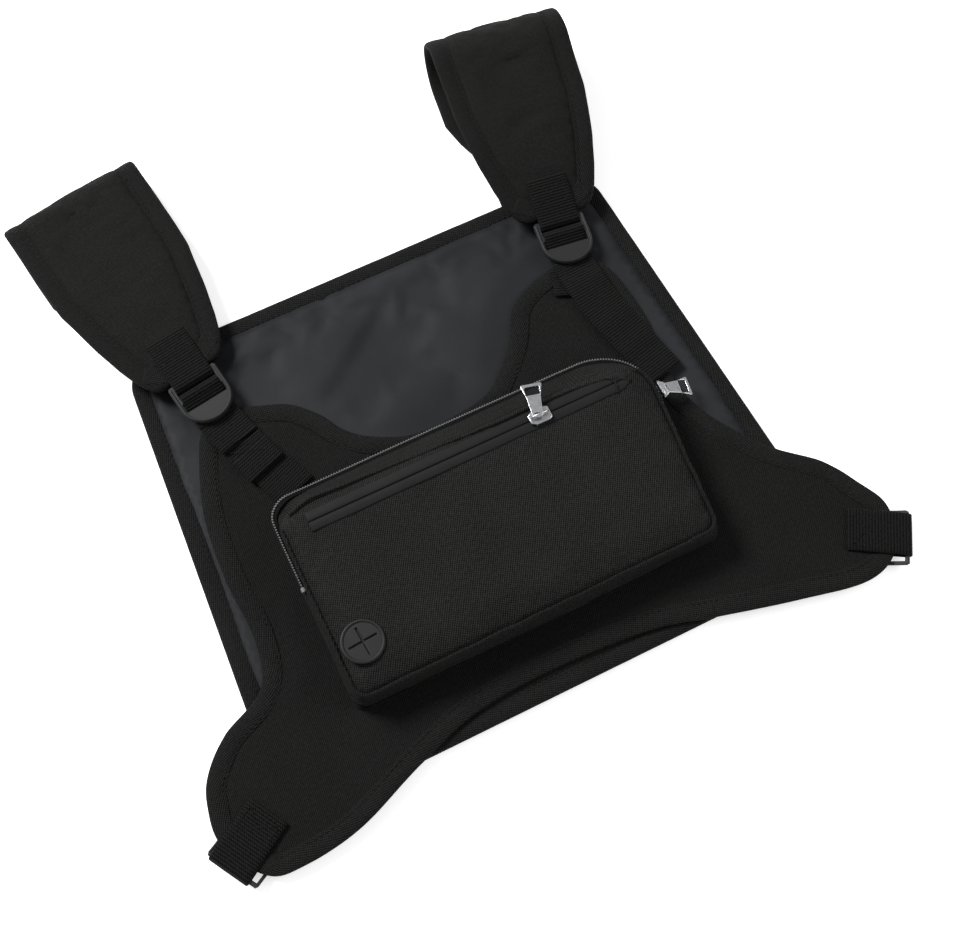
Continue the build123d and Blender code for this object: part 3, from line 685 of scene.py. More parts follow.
def joined(name, pieces):
    """Several meshes of one material made into one piece."""
    bm = bmesh.new()
    for piece in pieces:
        bm.from_mesh(piece.data)
    mesh = pieces[0].data
    bm.to_mesh(mesh)
    bm.free()
    for piece in pieces[1:]:
        bpy.data.objects.remove(piece)
    pieces[0].name = name
    return pieces[0]


def level(x, y, height):
    """Cloth that lies flat on the table."""
    return Vector((x, y, height))


def ramp(value):
    """value kept between 0 and 1."""
    return min(1.0, max(0.0, value))


def soft(x, y, size, seed=0.0):
    """Smooth noise from about -1 to 1, with features size millimetres across."""
    return noise.noise(Vector((x / size, y / size, seed)))


# ---------------------------------------------------------------- back panel
PANEL_CORNERS = ((-171.5, -143.3), (171.5, -143.3), (154.5, 143.3), (-154.5, 143.3))
PANEL_RADII = (6, 6, 20, 20)
BINDING = 11.0
PANEL_STITCH_INSET = 9.0
LINING_LEVEL = 4.3
LINING_CEILING = 4.75  # beneath the front panel; the cloth may rise clear of it
CLOTH_RISE = 3.2
LINING_LOW = 2.6
PANEL_TOP = node_top("back_panel_binding")
# the front panel's edge, anticlockwise from the middle of the neck curve
FRONT_EDGE = (
    (-14, 28), (-39, 37), (-53, 48.6), (-62, 63.6), (-75, 77), (-90.6, 84), (-110, 90),
    (-127, 85), (-138, 62.6), (-146.5, 33), (-149.5, -4), (-148, -43), (-156, -70), (-182, -84),
    (-198, -99), (-205, -114), (-206.3, -137), (-191, -161), (-172, -165.5), (-137, -161), (-95, -145),
    (-54, -133), (-5, -130.6), (50, -134.5), (85, -143.5), (133, -155.6), (174, -163), (197, -153),
    (205.5, -130), (198, -110), (186, -90), (164, -69.5), (149, -49), (139.5, -31), (134.5, -12),
    (137.5, 17), (138, 48), (133, 78), (116, 91.5), (96, 88.5), (80, 83), (68, 74),
    (58.5, 58), (45, 43), (26, 31),
)


def panel_loop(inset):
    return corner_loop(PANEL_CORNERS, PANEL_RADII, inset)


def make_back_panel(front_loop):
    seam = panel_loop(BINDING - 1)
    front = np.array(front_loop)

    def folds(x, y, gap):
        """Soft folds of the loose cloth, and small puckers along its binding."""
        broad = 1.7 * soft(x + 0.45 * y, y * 0.3, 38, 5.1) + 0.35 * soft(x * 0.8, y * 0.6, 20, 2.3)
        pucker = 0.55 * soft(x * 1.3, y * 1.3, 9, 7.7) * max(0.0, 1 - gap / 24)
        return 1.1 + broad * min(1.0, gap / 14) + pucker

    lining = pad("back_lining", seam, 4.2, folds, lambda x, y, gap: -1.6, level, LINING, "lining")
    simulate(lining, 3.0, 0.35, 0.9, grow=0.02)
    place = coordinates(lining.data) / MM
    beside = edge_gap(place, front)
    beside[within(place, front)] = 0
    room = np.minimum(1.0, beside / 16)
    upper = np.arange(len(place)) < len(place) // 2
    raised = LINING_LEVEL + room * np.clip(place[:, 2] - 0.3, -0.9, CLOTH_RISE)
    place[:, 2] = np.where(upper, np.minimum(raised, LINING_CEILING + CLOTH_RISE * room), LINING_LOW)
    lining.data.vertices.foreach_set("co", (place * MM).ravel())
    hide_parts("back_panel_lining", "back_panel_foam")

    def under_side(x, y, gap):
        return 0.15 + 0.12 * soft(x, y, 30, 1.0) * min(1, gap / 10)

    cover = pad(
        "back_cover", seam, 6.0, lambda x, y, gap: 2.4, under_side, level, PANEL_CANVAS, "canvas",
    )
    del cover["edge_gap"]
    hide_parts("back_panel_shell")

    top = PANEL_TOP
    profile = (
        (11.3, 4.0), (11.0, top - 0.25), (10.2, top + 0.1), (9.0, top - 0.1), (8.2, top + 0.15),
        (4.5, top + 0.3), (1.6, top + 0.1), (0.4, top - 0.7), (0, 2.6),
        (0.4, 1.0), (1.6, 0.2), (5, 0.0), (10.2, 0.05), (11.0, 0.4),
    )
    binding = sweep_band("back_binding", panel_loop, profile, level, EDGE_TAPE, "binding")
    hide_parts("back_panel_binding")
    seam_line = panel_loop(PANEL_STITCH_INSET)
    thread = stitches("back_binding_stitches", [row_of(seam_line, level, top + 0.05)], "binding")
    hidden_row = row_of(seam_line, lambda x, y, height: Vector((x, y, 0.2 - height)), 0.05)
    under = stitches("back_binding_stitches_under", [hidden_row], "binding")
    hem = [(-92, -126.5, 4.93), (112, -126.5, 4.93)]
    facing = ribbon(
        "back_hem_facing", hem, Vector((0, 1, 0)), "back_panel", 13.0, 0.3, "canvas", EDGE_TAPE,
        round_edge=0.1,
    )
    ride_all("back_panel", lining, cover, binding, thread, under)


# ---------------------------------------------------------------- front panel
FRONT_LOW = 5.2
FRONT_STITCH_INSET = 9.1
FRONT_LINING_INSET = 9.5
CANVAS_INSET = 1.2
CANVAS_LOW, CANVAS_HIGH = 5.8, 7.35
CREASES_AT = (140, -62)  # creases fan out in the cloth on each side of the pocket
CREASES_FROM = (118, -20)
FRONT_TOP = node_top("front_panel_binding")


def front_lift(x, y):
    """Slow undulation of the front panel, which lies loose on the back panel."""
    wing = max(0.0, (abs(x) - 110) / 90)
    return 0.35 * soft(x, y, 45, 9.0) + 0.5 * wing * soft(x, y, 38, 4.0)


def on_front(x, y, height):
    """A place over the front panel, carried by its undulation."""
    return Vector((x, y, height + front_lift(x, y)))


def make_front_panel(front_loop):
    canvas_loop = offset_loop(front_loop, CANVAS_INSET)

    def canvas_top(x, y, gap):
        settle = min(1.0, gap / 16)
        hand = -1 if x < 0 else 1
        away = hypot(x - hand * CREASES_AT[0], y - CREASES_AT[1])
        angle = atan2(y - CREASES_FROM[1], x - hand * CREASES_FROM[0])
        beside_pocket = max(0.0, 1 - abs(away - 14) / 42)
        fan = sin(angle * 6 + 0.9 * soft(x, y, 40, 3.0)) * beside_pocket
        return CANVAS_HIGH + settle * (0.8 * soft(x, y, 22, 6.0) + 0.95 * fan)

    canvas = pad(
        "front_canvas", canvas_loop, 4.2, canvas_top, lambda x, y, gap: CANVAS_LOW, on_front, PANEL_CANVAS,
        "canvas",
    )
    del canvas["edge_gap"]
    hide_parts("front_panel_canvas")
    lining_loop = offset_loop(front_loop, FRONT_LINING_INSET)
    lining = pad(
        "front_lining", lining_loop, 6.0, lambda x, y, gap: 5.7, lambda x, y, gap: 5.3, on_front, LINING,
        "lining",
    )
    del lining["edge_gap"]
    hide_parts("front_panel_lining")
    top = FRONT_TOP
    profile = (
        (11.3, 7.0), (11.0, top - 0.35), (10.2, top), (9.1, top - 0.2), (8.2, top + 0.15),
        (4.5, top + 0.3), (1.5, top + 0.1), (0.35, top - 0.5), (0, 6.6),
        (0.35, 5.7), (1.5, 5.25), (5, 5.15), (10.2, 5.15), (11.0, 5.5),
    )
    binding = sweep_band(
        "front_binding", lambda inset: offset_loop(front_loop, inset), profile, on_front, EDGE_TAPE,
        "binding", wave=0.35,
    )
    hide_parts("front_panel_binding")
    rows = [row_of(offset_loop(front_loop, FRONT_STITCH_INSET), on_front, top)]
    thread = stitches("front_binding_stitches", rows, "binding")
    ride_all("front_assembly", canvas, lining, binding, thread)


# ---------------------------------------------------------------- shoulder straps
STRAP_LOW = 3.4
STRAP_END_HIGH = 14.2
LOCK_APEX = (115.4, 84.0)
STRAP_END_REACH = 33.5
# each strap's side, hand, splay, fold radius, and how far up the vest it folds
STRAPS = (("left", -1, radians(-9.0), 9.0, 249.0), ("right", 1, radians(7.5), 21.0, 226.0))
STRAP_HALF = 42.5
TALL_FOLD = 12.0  # a strap folded wider than this stands up in a loop, and bows more
PANEL_SEAM_Y = 143.4
STRAP_BINDING = 12.0
SEAM_SKEW_LONG = 30.0
SPLIT_PAST_BEND = 5.0
STRAP_LAP = 5.0
STRAP_STITCH_INSET = 10.0
STRAP_STITCH_HIGH = 1.7
STRAP_TAPE_TOP = ((9.0, 2.0), (5, 2.25), (1.6, 1.9), (0.4, 1.1))
STRAP_TAPE_LIP = ((12.2, 1.3), (11.7, 1.75), (11.0, 1.95), (10.0, 1.5))


def strap_frame(hand, splay):
    """The strap's directions across and along, and the place of its lock on the table."""
    across = Vector((cos(splay), -sin(splay), 0))
    along = Vector((sin(splay), cos(splay), 0))
    apex = Vector((hand * LOCK_APEX[0], LOCK_APEX[1], 0))
    return across, along, apex


class StrapPath:
    """The middle line of a folded strap: flat on the table, round the fold, and down to its sewn end."""

    def __init__(self, hand, splay, radius, fold_y):
        self.across, self.along, self.apex = strap_frame(hand, splay)
        self.radius = radius
        self.start = (PANEL_SEAM_Y - LOCK_APEX[1]) / cos(splay)
        self.fold = (fold_y - LOCK_APEX[1]) / cos(splay)
        down = STRAP_LOW + radius - STRAP_END_HIGH
        run = self.fold - STRAP_END_REACH
        self.rise = atan2(down, run) + asin(radius / hypot(down, run))
        self.back_length = self.fold - self.start
        self.bend_length = radius * (pi + self.rise)
        end = Vector((STRAP_END_REACH, STRAP_END_HIGH))
        self.top = self.bend_point(pi + self.rise)
        self.front_length = (end - self.top).length
        self.length = self.back_length + self.bend_length + self.front_length
        tall = radius > TALL_FOLD
        self.bow = 2.2 if tall else 0.8
        self.fullness = STRAP_HALF + (0.2 if tall else 2.0)

    def bend_point(self, angle):
        return Vector((self.fold + self.radius * sin(angle), STRAP_LOW + self.radius * (1 - cos(angle))))

    def at(self, s):
        """The middle line's point at s along the strap, as (reach, height), and its direction's angle."""
        if s < self.back_length:
            return Vector((self.start + s, STRAP_LOW)), 0.0
        if s < self.back_length + self.bend_length:
            angle = (s - self.back_length) / self.radius
            return self.bend_point(angle), angle
        along = s - self.back_length - self.bend_length
        angle = pi + self.rise
        share = min(1.0, along / self.front_length)
        bow = self.bow * sin(pi * share) ** 2
        straight = self.top + Vector((cos(angle), sin(angle))) * along
        return straight + Vector((-sin(angle), cos(angle))) * -bow, angle

    def place(self, u, s, height):
        """The point of the strap at u across and s along it. Positive height is its outer face."""
        middle, angle = self.at(s)
        normal = self.along * sin(angle) - UP * cos(angle)
        return self.apex + self.along * middle.x + UP * middle.y + self.across * u + normal * height


def strap_half_width(path, s):
    """Half the strap's width at s: narrow at the seam, full over the shoulder, tapered to its end."""
    from_end = path.length - s
    full = path.fullness
    taper = (20, 24.5, 28.5, 32.5, 37.0, 0.2 + 0.97 * full, full)
    front = np.interp(from_end, (0, 4, 12, 24, 42, 72, 110), taper)
    back = np.interp(s, (0, 20, 34, 48, 62), (27.5, 28.5, 31, 38, full))
    return float(min(front, back)) + 0.5 * soft(s, 1.0, 24, path.radius)


STRAP_STEP = 3


def strap_edge(path, first, last, inset, hand):
    """One edge of the strap from first to last, hand across."""
    out = []
    for s in np.arange(first, last + 0.01, (last - first) / ceil((last - first) / STRAP_STEP)):
        half = strap_half_width(path, s) - inset
        out.append((hand * half, s))
    return out


def strap_outline(path, first, last, inset, rounded_end):
    """The closed outline of a stretch of the strap, anticlockwise on its flat cloth."""
    stop = last - inset if rounded_end else last
    right = strap_edge(path, first, stop, inset, 1)
    left = strap_edge(path, first, stop, inset, -1)
    end = right[-1]
    cap = [(u, end[1]) for u in np.linspace(end[0], left[-1][0], 8)[1:-1]]
    start = [(u, first) for u in np.linspace(left[0][0], right[0][0], 12)[1:-1]]
    return right + cap + left[::-1] + start


def strap_crown(path, u, s):
    """Half the pad's thickness, with soft creases across it."""
    beside = strap_half_width(path, s) - STRAP_BINDING + 1.0 - abs(u)
    ends = min(s + 2.0, path.length - STRAP_BINDING + 1.0 - s)
    swell = ramp(min(beside, ends) / 9) ** 0.6
    crease = 0.28 * soft(u, s, 15, path.radius) + 0.22 * soft(u * 0.5, s * 1.6, 10, 3.3)
    return 1.55 + 1.0 * swell + crease * swell


def make_strap(side, hand, splay, radius, fold_y):
    path = StrapPath(hand, splay, radius, fold_y)
    split = path.back_length + path.bend_length + SPLIT_PAST_BEND
    stretches = (("back", 0.0, split, False), ("front", split, path.length, True))

    def place(u, s, height):
        """The seam at the panel's edge is square to the panel, not to the strap."""
        skew = u * sin(splay) / cos(splay) * max(0.0, 1 - s / SEAM_SKEW_LONG)
        return path.place(u, s + skew, height)

    def beneath(u, s, height):
        return place(u, s, -height)

    for part, first, last, rounded_end in stretches:
        stem = f"strap_{side}_{part}"
        begins = split - STRAP_LAP if rounded_end else first
        ends = last if rounded_end else split + STRAP_LAP
        outline = strap_outline(path, begins, ends, STRAP_BINDING - 1.0, rounded_end)

        def laid(u, s, height, hand_over=-1 if rounded_end else 1):
            """Each stretch sinks a little where it runs on inside the other one."""
            sunk = float(np.clip((s - split) * hand_over / STRAP_LAP, 0, 1)) ** 2
            return place(u * (1 - 0.015 * sunk), s, height * (1 - 0.45 * sunk))

        pad_piece = pad(
            f"{stem}_pad", outline, 3.6, lambda u, s, gap: strap_crown(path, u, s),
            lambda u, s, gap: -strap_crown(path, u, s), laid, STRAP_CANVAS, "strap_cloth",
        )
        simulate(pad_piece, 4.0, 0.5, 0.55, grow=0.01)
        upper = STRAP_TAPE_LIP + STRAP_TAPE_TOP
        profile = (*upper, (0, 0), *((inset, -height) for inset, height in reversed(upper)))
        edges = []
        for edge_hand in (1, -1):
            def loop_at(inset, edge_hand=edge_hand, begins=begins, ends=ends):
                loop = strap_edge(path, begins, ends, inset, edge_hand)
                return loop if edge_hand > 0 else loop[::-1]

            edges.append(sweep_band(
                f"{stem}_binding_{edge_hand}", loop_at, profile, laid, EDGE_TAPE, "binding", closed=False,
                wave=0.2,
            ))
        binding = joined(f"{stem}_binding", edges)
        lines = [strap_edge(path, first, last, STRAP_STITCH_INSET, h) for h in (1, -1)]
        rows = [row_of(line, place, STRAP_STITCH_HIGH, closed=False) for line in lines]
        rows += [row_of(line, beneath, STRAP_STITCH_HIGH, closed=False) for line in lines]
        thread = stitches(f"{stem}_stitches", rows, "binding")
        group = (pad_piece, binding, thread)
        names = [f"{stem}_{kind}" for kind in ("cover", "foam", "binding")]
        if part == "front":
            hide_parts(*names)
            ride_all("front_assembly", *group)
        else:
            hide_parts(*names, f"strap_{side}_fold")
            for piece in group:
                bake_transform(piece)
    end_cap(side, path)
    return path


def end_cap(side, path):
    """The tape folded over the strap's sewn end, under the webbing tab."""
    half = strap_half_width(path, path.length - 12) - 6.0
    route = []
    for u in np.linspace(-half, half, 15):
        rounding = 7.0 * abs(u / half) ** 3
        route.append(path.place(u, path.length - 6.0 - rounding, 0.0))
    downward = path.place(0, path.length, 0) - path.place(0, path.length - 1, 0)
    ribbon(
        f"strap_{side}_end_tape", route, downward, "front_assembly", 13.0, 4.5, "binding", EDGE_TAPE,
        round_edge=1.4,
    )


# ---------------------------------------------------------------- locks and adjuster webbing
LOCK_WIDE = 31.6
LOCK_LONG = 31.8
LOCK_THICK = 2.8
LOCK_PLATE = 12.6
LOCK_WINDOW_HALF = 13.2
LOCK_BAR_HALF = 1.5
GRIP_BAR = 20.0
TOP_BAR = 30.0
WRAP = 2.9
TAB_LIFT = 3.05
TAB_LONG = {"left": 27.0, "right": 24.0}


def rounded_box(low, high, radius, clockwise=False):
    """A box's outline with rounded corners. A hole's outline runs clockwise."""
    corners = ((low[0], low[1]), (high[0], low[1]), (high[0], high[1]), (low[0], high[1]))
    loop = corner_loop(corners, (radius,) * 4, 0, 1.0)
    return loop[::-1] if clockwise else loop


def stitched_box(name, centre, along, across, up, long, wide, body):
    """A box of stitching with a cross in it."""
    a, b = along * long / 2, across * wide / 2
    corners = [centre - a - b, centre + a - b, centre + a + b, centre - a + b]
    rows = []
    for p, q in ((0, 1), (1, 2), (2, 3), (3, 0), (0, 2), (1, 3)):
        rows.append([(corners[p].lerp(corners[q], t), up) for t in np.linspace(0, 1, 6)])
    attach(stitches(name, rows, "webbing", length=1.9, gap=0.7, width=0.5, rise=0.15), body)


def make_lock_frame(side, centre, across, along):
    """The lock's plate with its two windows, its raised rim, and the ribs on its grip bar."""
    body = f"ladder_lock_{side}"
    half = LOCK_WIDE / 2
    place = basis(centre, across, along)
    dome_at = LOCK_PLATE + 2
    dome = [(half * cos(a), dome_at + dome_at * sin(a)) for a in np.linspace(pi, 2 * pi, 25)]
    chamfer = LOCK_LONG - 1.2
    outline = dome + [(half, chamfer), (half - 1.2, LOCK_LONG), (-half + 1.2, LOCK_LONG), (-half, chamfer)]
    windows = []
    for low, bar in ((LOCK_PLATE, GRIP_BAR), (GRIP_BAR + LOCK_BAR_HALF, TOP_BAR)):
        corners = (-LOCK_WINDOW_HALF, low), (LOCK_WINDOW_HALF, bar - LOCK_BAR_HALF)
        windows.append(rounded_box(*corners, 0.8, clockwise=True))
    look = (LOCK_PLASTIC, "lock_plastic")
    body_plate = plate(f"lock_{side}_frame", [outline, *windows], LOCK_THICK, 0.55, place, *look)
    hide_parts(body)
    inner = half - 1.1
    lip = [(inner * cos(a), dome_at + (dome_at - 1.1) * sin(a)) for a in np.linspace(pi, 2 * pi, 25)]
    rim_line = [(-inner, LOCK_LONG - 2.4)] + lip + [(inner, LOCK_LONG - 2.4)]
    rim_route = [place @ Vector((x, y, LOCK_THICK / 2 - 0.1)) for x, y in rim_line]
    rim = tube(f"lock_{side}_rim", rim_route, 0.85, *look)
    teeth = []
    for n, y in enumerate((-1.0, 0.9)):
        ends = [place @ Vector((x, GRIP_BAR + y, 1.1)) for x in (-12.8, 12.8)]
        teeth.append(tube(f"lock_{side}_tooth_{n}", ends, 0.42, *look))
    grip = joined(f"lock_{side}_grip", teeth)
    ride_all(body, body_plate, rim, grip)


def wrapped(bar, along, first, last, count):
    """The turn of webbing round a bar of a lock, between two angles in degrees."""
    angles = np.linspace(radians(first), radians(last), count)
    return [bar + (along * cos(a) + UP * sin(a)) * WRAP for a in angles]


def make_tab(side, path, centre, across, along):
    """The strap's webbing tab: sewn on the strap, over the lock's top bar and back beneath."""
    start = path.place(0, path.length, 0)
    front_dir = (path.place(0, path.length - 20, 0) - start).normalized()
    front_up = across.cross(front_dir)
    turn = wrapped(centre + along * (TOP_BAR - 0.8), along, 95, 265, 12)
    sewn = []
    for s in np.linspace(TAB_LONG[side], -0.5, 9):
        sewn.append(start + front_dir * s + front_up * (TAB_LIFT + 0.35 * sin(s / 30 * pi)))
    back = [start + front_dir * s - front_up * TAB_LIFT for s in (-0.5, 8, 16)]
    tab = ribbon(f"strap_{side}_web_tab", sewn + turn + back, across, "front_assembly")
    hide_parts(f"strap_{side}_tab")
    box_at = start + front_dir * (TAB_LONG[side] - 10) + front_up * (TAB_LIFT + 0.85)
    stitched_box(f"strap_{side}_tab_stitches", box_at, front_dir, across, front_up, 14, 19, "front_assembly")


def make_adjuster_loop(side, centre, across, along):
    """The adjuster webbing: from beneath the lock's plate, round its grip bar and down again."""
    low = -(LOCK_THICK / 2 + 0.3 + WEB_THICK / 2)
    lower = [centre + along * s + UP * (low - 1.7) for s in (1.5, 8, 15)]
    around = wrapped(centre + along * (GRIP_BAR + 1.2), along, -90, 150, 14)
    down = [centre + along * (LOCK_PLATE + 2.2) + UP * (low + 1.4)]
    down += [centre + along * LOCK_PLATE + UP * low, centre + along * 1.5 + UP * low]
    loop = ribbon(f"adjuster_{side}_loop", lower + around + down, across, f"ladder_lock_{side}")
    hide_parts(f"adjuster_loop_{side}")


def make_lock(side, hand, splay, path):
    across, along, apex = strap_frame(hand, splay)
    low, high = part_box(f"ladder_lock_{side}")
    centre = apex + UP * ((low.z + high.z) / 2 / MM)
    make_lock_frame(side, centre, across, along)
    make_tab(side, path, centre, across, along)
    make_adjuster_loop(side, centre, across, along)


def make_adjusters():
    """The sewn anchors and the loose tails on the front panel."""
    low = node_top("adjuster_anchor_left") - WEB_THICK / 2
    tail = node_top("adjuster_tail_left") - WEB_THICK / 2
    body = "front_assembly"

    def side_of(route):
        start, end = Vector(route[0]), Vector(route[-1])
        return (end - start).cross(UP).normalized()

    lock_across = {side: strap_frame(hand, splay)[0] for side, hand, splay, _, _ in STRAPS}
    left_anchor = [(-115.0, 83, low + 0.6), (-109, 66, low), (-101, 46, low - 0.1), (-92.5, 25, low - 0.1)]
    right_anchor = [(112.5, 84, low + 0.6), (110, 75, low), (106.5, 66.5, low)]
    left_tail = [(-116.2, 89, tail + 0.9), (-111.5, 72, tail + 0.5), (-107, 58, tail + 0.2), (-102, 44, tail)]
    right_tail = [
        (115.0, 89, tail + 0.8), (115.8, 68, tail + 0.9), (118.5, 48, tail + 0.4), (124, 24, tail),
        (130, -3, tail - 0.4),
    ]
    right_tail_end = Vector((0.95, 0.3, 0.0))
    webs = (
        ("left", "anchor", left_anchor, side_of(left_anchor), 0.2),
        ("right", "anchor", right_anchor, side_of(right_anchor), 0.0),
        ("left", "tail", left_tail, (lock_across["left"], side_of(left_tail)), 0.3),
        ("right", "tail", right_tail, (lock_across["right"], right_tail_end), 0.9),
    )
    for side, kind, route, across, wave in webs:
        web = ribbon(f"adjuster_{side}_{kind}", smooth_line(route), across, body, wave=wave)
        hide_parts(f"adjuster_{kind}_{side}")
    hem = [(-107.6, 59.5, tail + 1.3), (-102.2, 44.5, tail + 1.25)]
    ribbon("adjuster_left_hem", hem, side_of(hem), body, wave=0.15)
    bar = [(Vector(p), UP) for p in ((-118.5, 62, tail + 2.0), (-97, 55, tail + 2.0))]
    rows = stitches("adjuster_bar_stitches", [bar], "webbing", 1.6, 0.6, 0.5, 0.1)
    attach(rows, body)


# ---------------------------------------------------------------- side loops and rings
LOOP_START = (176.7, -131.9)
LOOP_TURN = radians(-31)
LOOP_LONG = 37.3
RING_DROP = radians(19.5)
RING_ASIDE = 1.4  # each ring has slid a little towards the hem


def make_side_loop(side, hand):
    along = Vector((hand * cos(LOOP_TURN), sin(LOOP_TURN), 0))
    across = Vector((-along.y, along.x, 0))
    start = Vector((hand * LOOP_START[0], LOOP_START[1], 0))
    top = FRONT_TOP + 0.3 + WEB_THICK / 2
    low = FRONT_LOW - 0.3 - WEB_THICK / 2
    radius, middle = (top - low) / 2, (top + low) / 2
    bar = LOOP_LONG - radius - WEB_THICK / 2
    angles = np.linspace(0, pi, 14)
    wrap = [start + along * (bar + radius * sin(a)) + UP * (middle + radius * cos(a)) for a in angles]
    upper = [start + along * s + UP * (top + 0.5 * sin(pi * s / bar)) for s in np.linspace(0, bar, 9)]
    under = [start + along * s + UP * low for s in (bar - 5, 18, 7)]
    loop = ribbon(f"side_{side}_loop", upper + wrap + under, across, "front_assembly", wave=0.12)
    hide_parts(f"side_loop_{side}")
    box_at = start + along * 10.5 + UP * (top + 1.1)
    stitched_box(f"side_{side}_loop_stitches", box_at, along, across, UP, 15, 19, "front_assembly")

    node = f"side_ring_{side}"
    inward = along * -cos(RING_DROP) - UP * sin(RING_DROP)
    origin = start + along * bar + UP * middle
    place = basis(origin, across, inward)
    aside = -RING_ASIDE * hand
    outline = rounded_box((aside - 16.2, -0.8), (aside + 16.2, 17.2), 1.4)
    window = rounded_box((aside - 14.6, 0.8), (aside + 14.4, 14.9), 0.8, clockwise=True)
    look = (LOCK_PLASTIC, "lock_plastic")
    ring = plate(f"ring_{side}_frame", [outline, window], 1.9, 0.5, place, *look)
    bar_ends = [origin + across * (aside + u) for u in (-15.4, 15.4)]
    bar_tube = tube(f"ring_{side}_bar", bar_ends, 1.3, *look, sides=16)
    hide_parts(node)
    ride_all(node, ring, bar_tube)


# ---------------------------------------------------------------- pocket
POCKET_CORNERS = ((-112, -105), (108.5, -105), (120.7, 21.5), (-112, 21.5))
POCKET_RADII = (8, 8, 34, 12)
FACE_CORNERS = ((-109.5, -103.0), (105.5, -103.0), (115.6, 6.5), (-109.5, 8.5))
FACE_RADII = (7, 8, 20, 10)
FACE_TOP = 33.0
SEAM_HIGH = 30.0
FOOT_HIGH = 8.3
ZIP_HIGH = 20.0
ZIP_ENDS = (-36.0, -24.0)
POCKET_MIDDLE_Y = -42
POCKET_STEP = 2.2
FOOT_SPREAD = 1.012
# the wall's bands, as shares from base (0) through zip (1) to seam (2)
LOW_SHARES = np.linspace(0, 0.86, 10)
PLAIN_SHARES = (0.86, 0.93, 1.0, 1.07, 1.14)
TAPE_SHARES = (0.8, 0.9, 1.0, 1.1, 1.2)
BAND_SHARES = np.linspace(1.14, 2.0, 10)
WALL_THICK = 0.7
FACE_THICK = 1.1


def pocket_rings():
    """The pocket's base and the seam round its face, as two lists of matching points."""
    base = np.array(corner_loop(POCKET_CORNERS, POCKET_RADII, 0, POCKET_STEP))
    face = np.array(corner_loop(FACE_CORNERS, FACE_RADII, 0, 1.0))
    angles = np.arctan2(face[:, 1] - POCKET_MIDDLE_Y, face[:, 0])
    order = np.argsort(angles)
    wanted = np.arctan2(base[:, 1] - POCKET_MIDDLE_Y, base[:, 0])
    matched = [np.interp(wanted, angles[order], face[order, k], period=2 * pi) for k in (0, 1)]
    return base, np.stack(matched, 1)


def outward(p):
    """The level direction out of the pocket at a point of its edge."""
    return Vector((p[0], p[1] - POCKET_MIDDLE_Y)).normalized()


def run_of(line, wanted):
    """The places in a closed line of its wanted points, in order from the largest gap between them."""
    found = [n for n in range(len(line)) if wanted(line[n])]
    gap = max(range(len(found)), key=lambda k: (found[(k + 1) % len(found)] - found[k]) % len(line))
    return found[gap + 1:] + found[:gap + 1]


def seam_height(x, y):
    """How high the seam round the face stands: it sags a little along the bottom and puckers."""
    sag = 2.2 * max(0.0, -y / 105) + 0.8 * max(0.0, -x / 110)
    return SEAM_HIGH - sag + 0.9 * soft(x, y, 15, 8.0)


def wall_point(base, face, n, height):
    """A point of the pocket's wall at a height, bulging a little between base and seam."""
    top = seam_height(*face[n])
    share = max(0.0, (height - ZIP_HIGH + 1.5) / (top - ZIP_HIGH + 1.5))
    ease = share ** 1.25
    x = base[n][0] + (face[n][0] - base[n][0]) * ease
    y = base[n][1] + (face[n][1] - base[n][1]) * ease
    out = outward(base[n])
    low_share = ramp((height - FOOT_HIGH) / 11)
    slump = 1.3 * sin(pi * low_share) + 0.8 * soft(x, y + height * 2, 19, 4.4) * sin(pi * low_share)
    return Vector((x + out.x * slump, y + out.y * slump, height))


def wall_strip(name, base, face, shares, material, slot, keep=None, recess=None):
    """A band of the pocket's wall, all round or only where keep says, moved in by recess."""
    closed = keep is None
    wanted = range(len(base)) if closed else run_of(base, keep)
    points, cloth = [], []
    for share in shares:
        for k, n in enumerate(wanted):
            seam = seam_height(*face[n])
            height = np.interp(share, (0, 1, 2), (FOOT_HIGH, ZIP_HIGH, seam))
            p = wall_point(base, face, n, height)
            if recess:
                p = p + recess(p, share)
            points.append(p)
            cloth.append((k * POCKET_STEP, height + 4 * share))
    faces = grid_faces(len(shares), len(wanted), closed)
    return add_piece(name, points, faces, material, slot, cloth)


def has_zip(p):
    return p[1] > (ZIP_ENDS[0] if p[0] < 0 else ZIP_ENDS[1])


def beside_zip(p):
    return not has_zip(p) or p[1] < ZIP_ENDS[0] + 3


def make_walls(base, face):
    """The gusset, the zip's tape and the band of cloth between the zip and the face."""
    def fold(p, share):
        """Soft folds in the band of cloth between the zip and the face."""
        if share <= 1.0 or p.y < -20:
            return Vector((0, 0, 0))
        dip = sin(pi * (share - 1)) * (1.1 * soft(p.x, p.y * 0.4, 26, 2.0) - 0.7)
        corner = 3.2 * max(0.0, 1 - hypot(p.x + 104, p.y - 14) / 17) * sin(pi * (share - 1))
        return Vector((0, -0.6, 1.0)) * dip - Vector((-0.5, 0.7, 0.9)) * corner

    lower = wall_strip("pocket_gusset_low", base, face, LOW_SHARES, CANVAS, "canvas")
    plain = wall_strip("pocket_gusset_side", base, face, PLAIN_SHARES, CANVAS, "canvas", keep=beside_zip)
    upper = wall_strip("pocket_band", base, face, BAND_SHARES, CANVAS, "canvas", recess=fold)
    tape = wall_strip("main_zip_tape_cloth", base, face, TAPE_SHARES, ZIP_TAPE, "zip_tape", keep=has_zip)
    walls = joined("pocket_walls", [lower, plain])
    for piece in (walls, upper, tape):
        solid = piece.modifiers.new("cloth_thickness", "SOLIDIFY")
        solid.thickness = WALL_THICK * MM
        solid.offset = -1
        shaped = bpy.data.meshes.new_from_object(piece.evaluated_get(bpy.context.evaluated_depsgraph_get()))
        piece.modifiers.clear()
        piece.data = shaped
        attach(piece, "front_assembly")
    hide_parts("pocket_gusset")
    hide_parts("main_zip_tape")


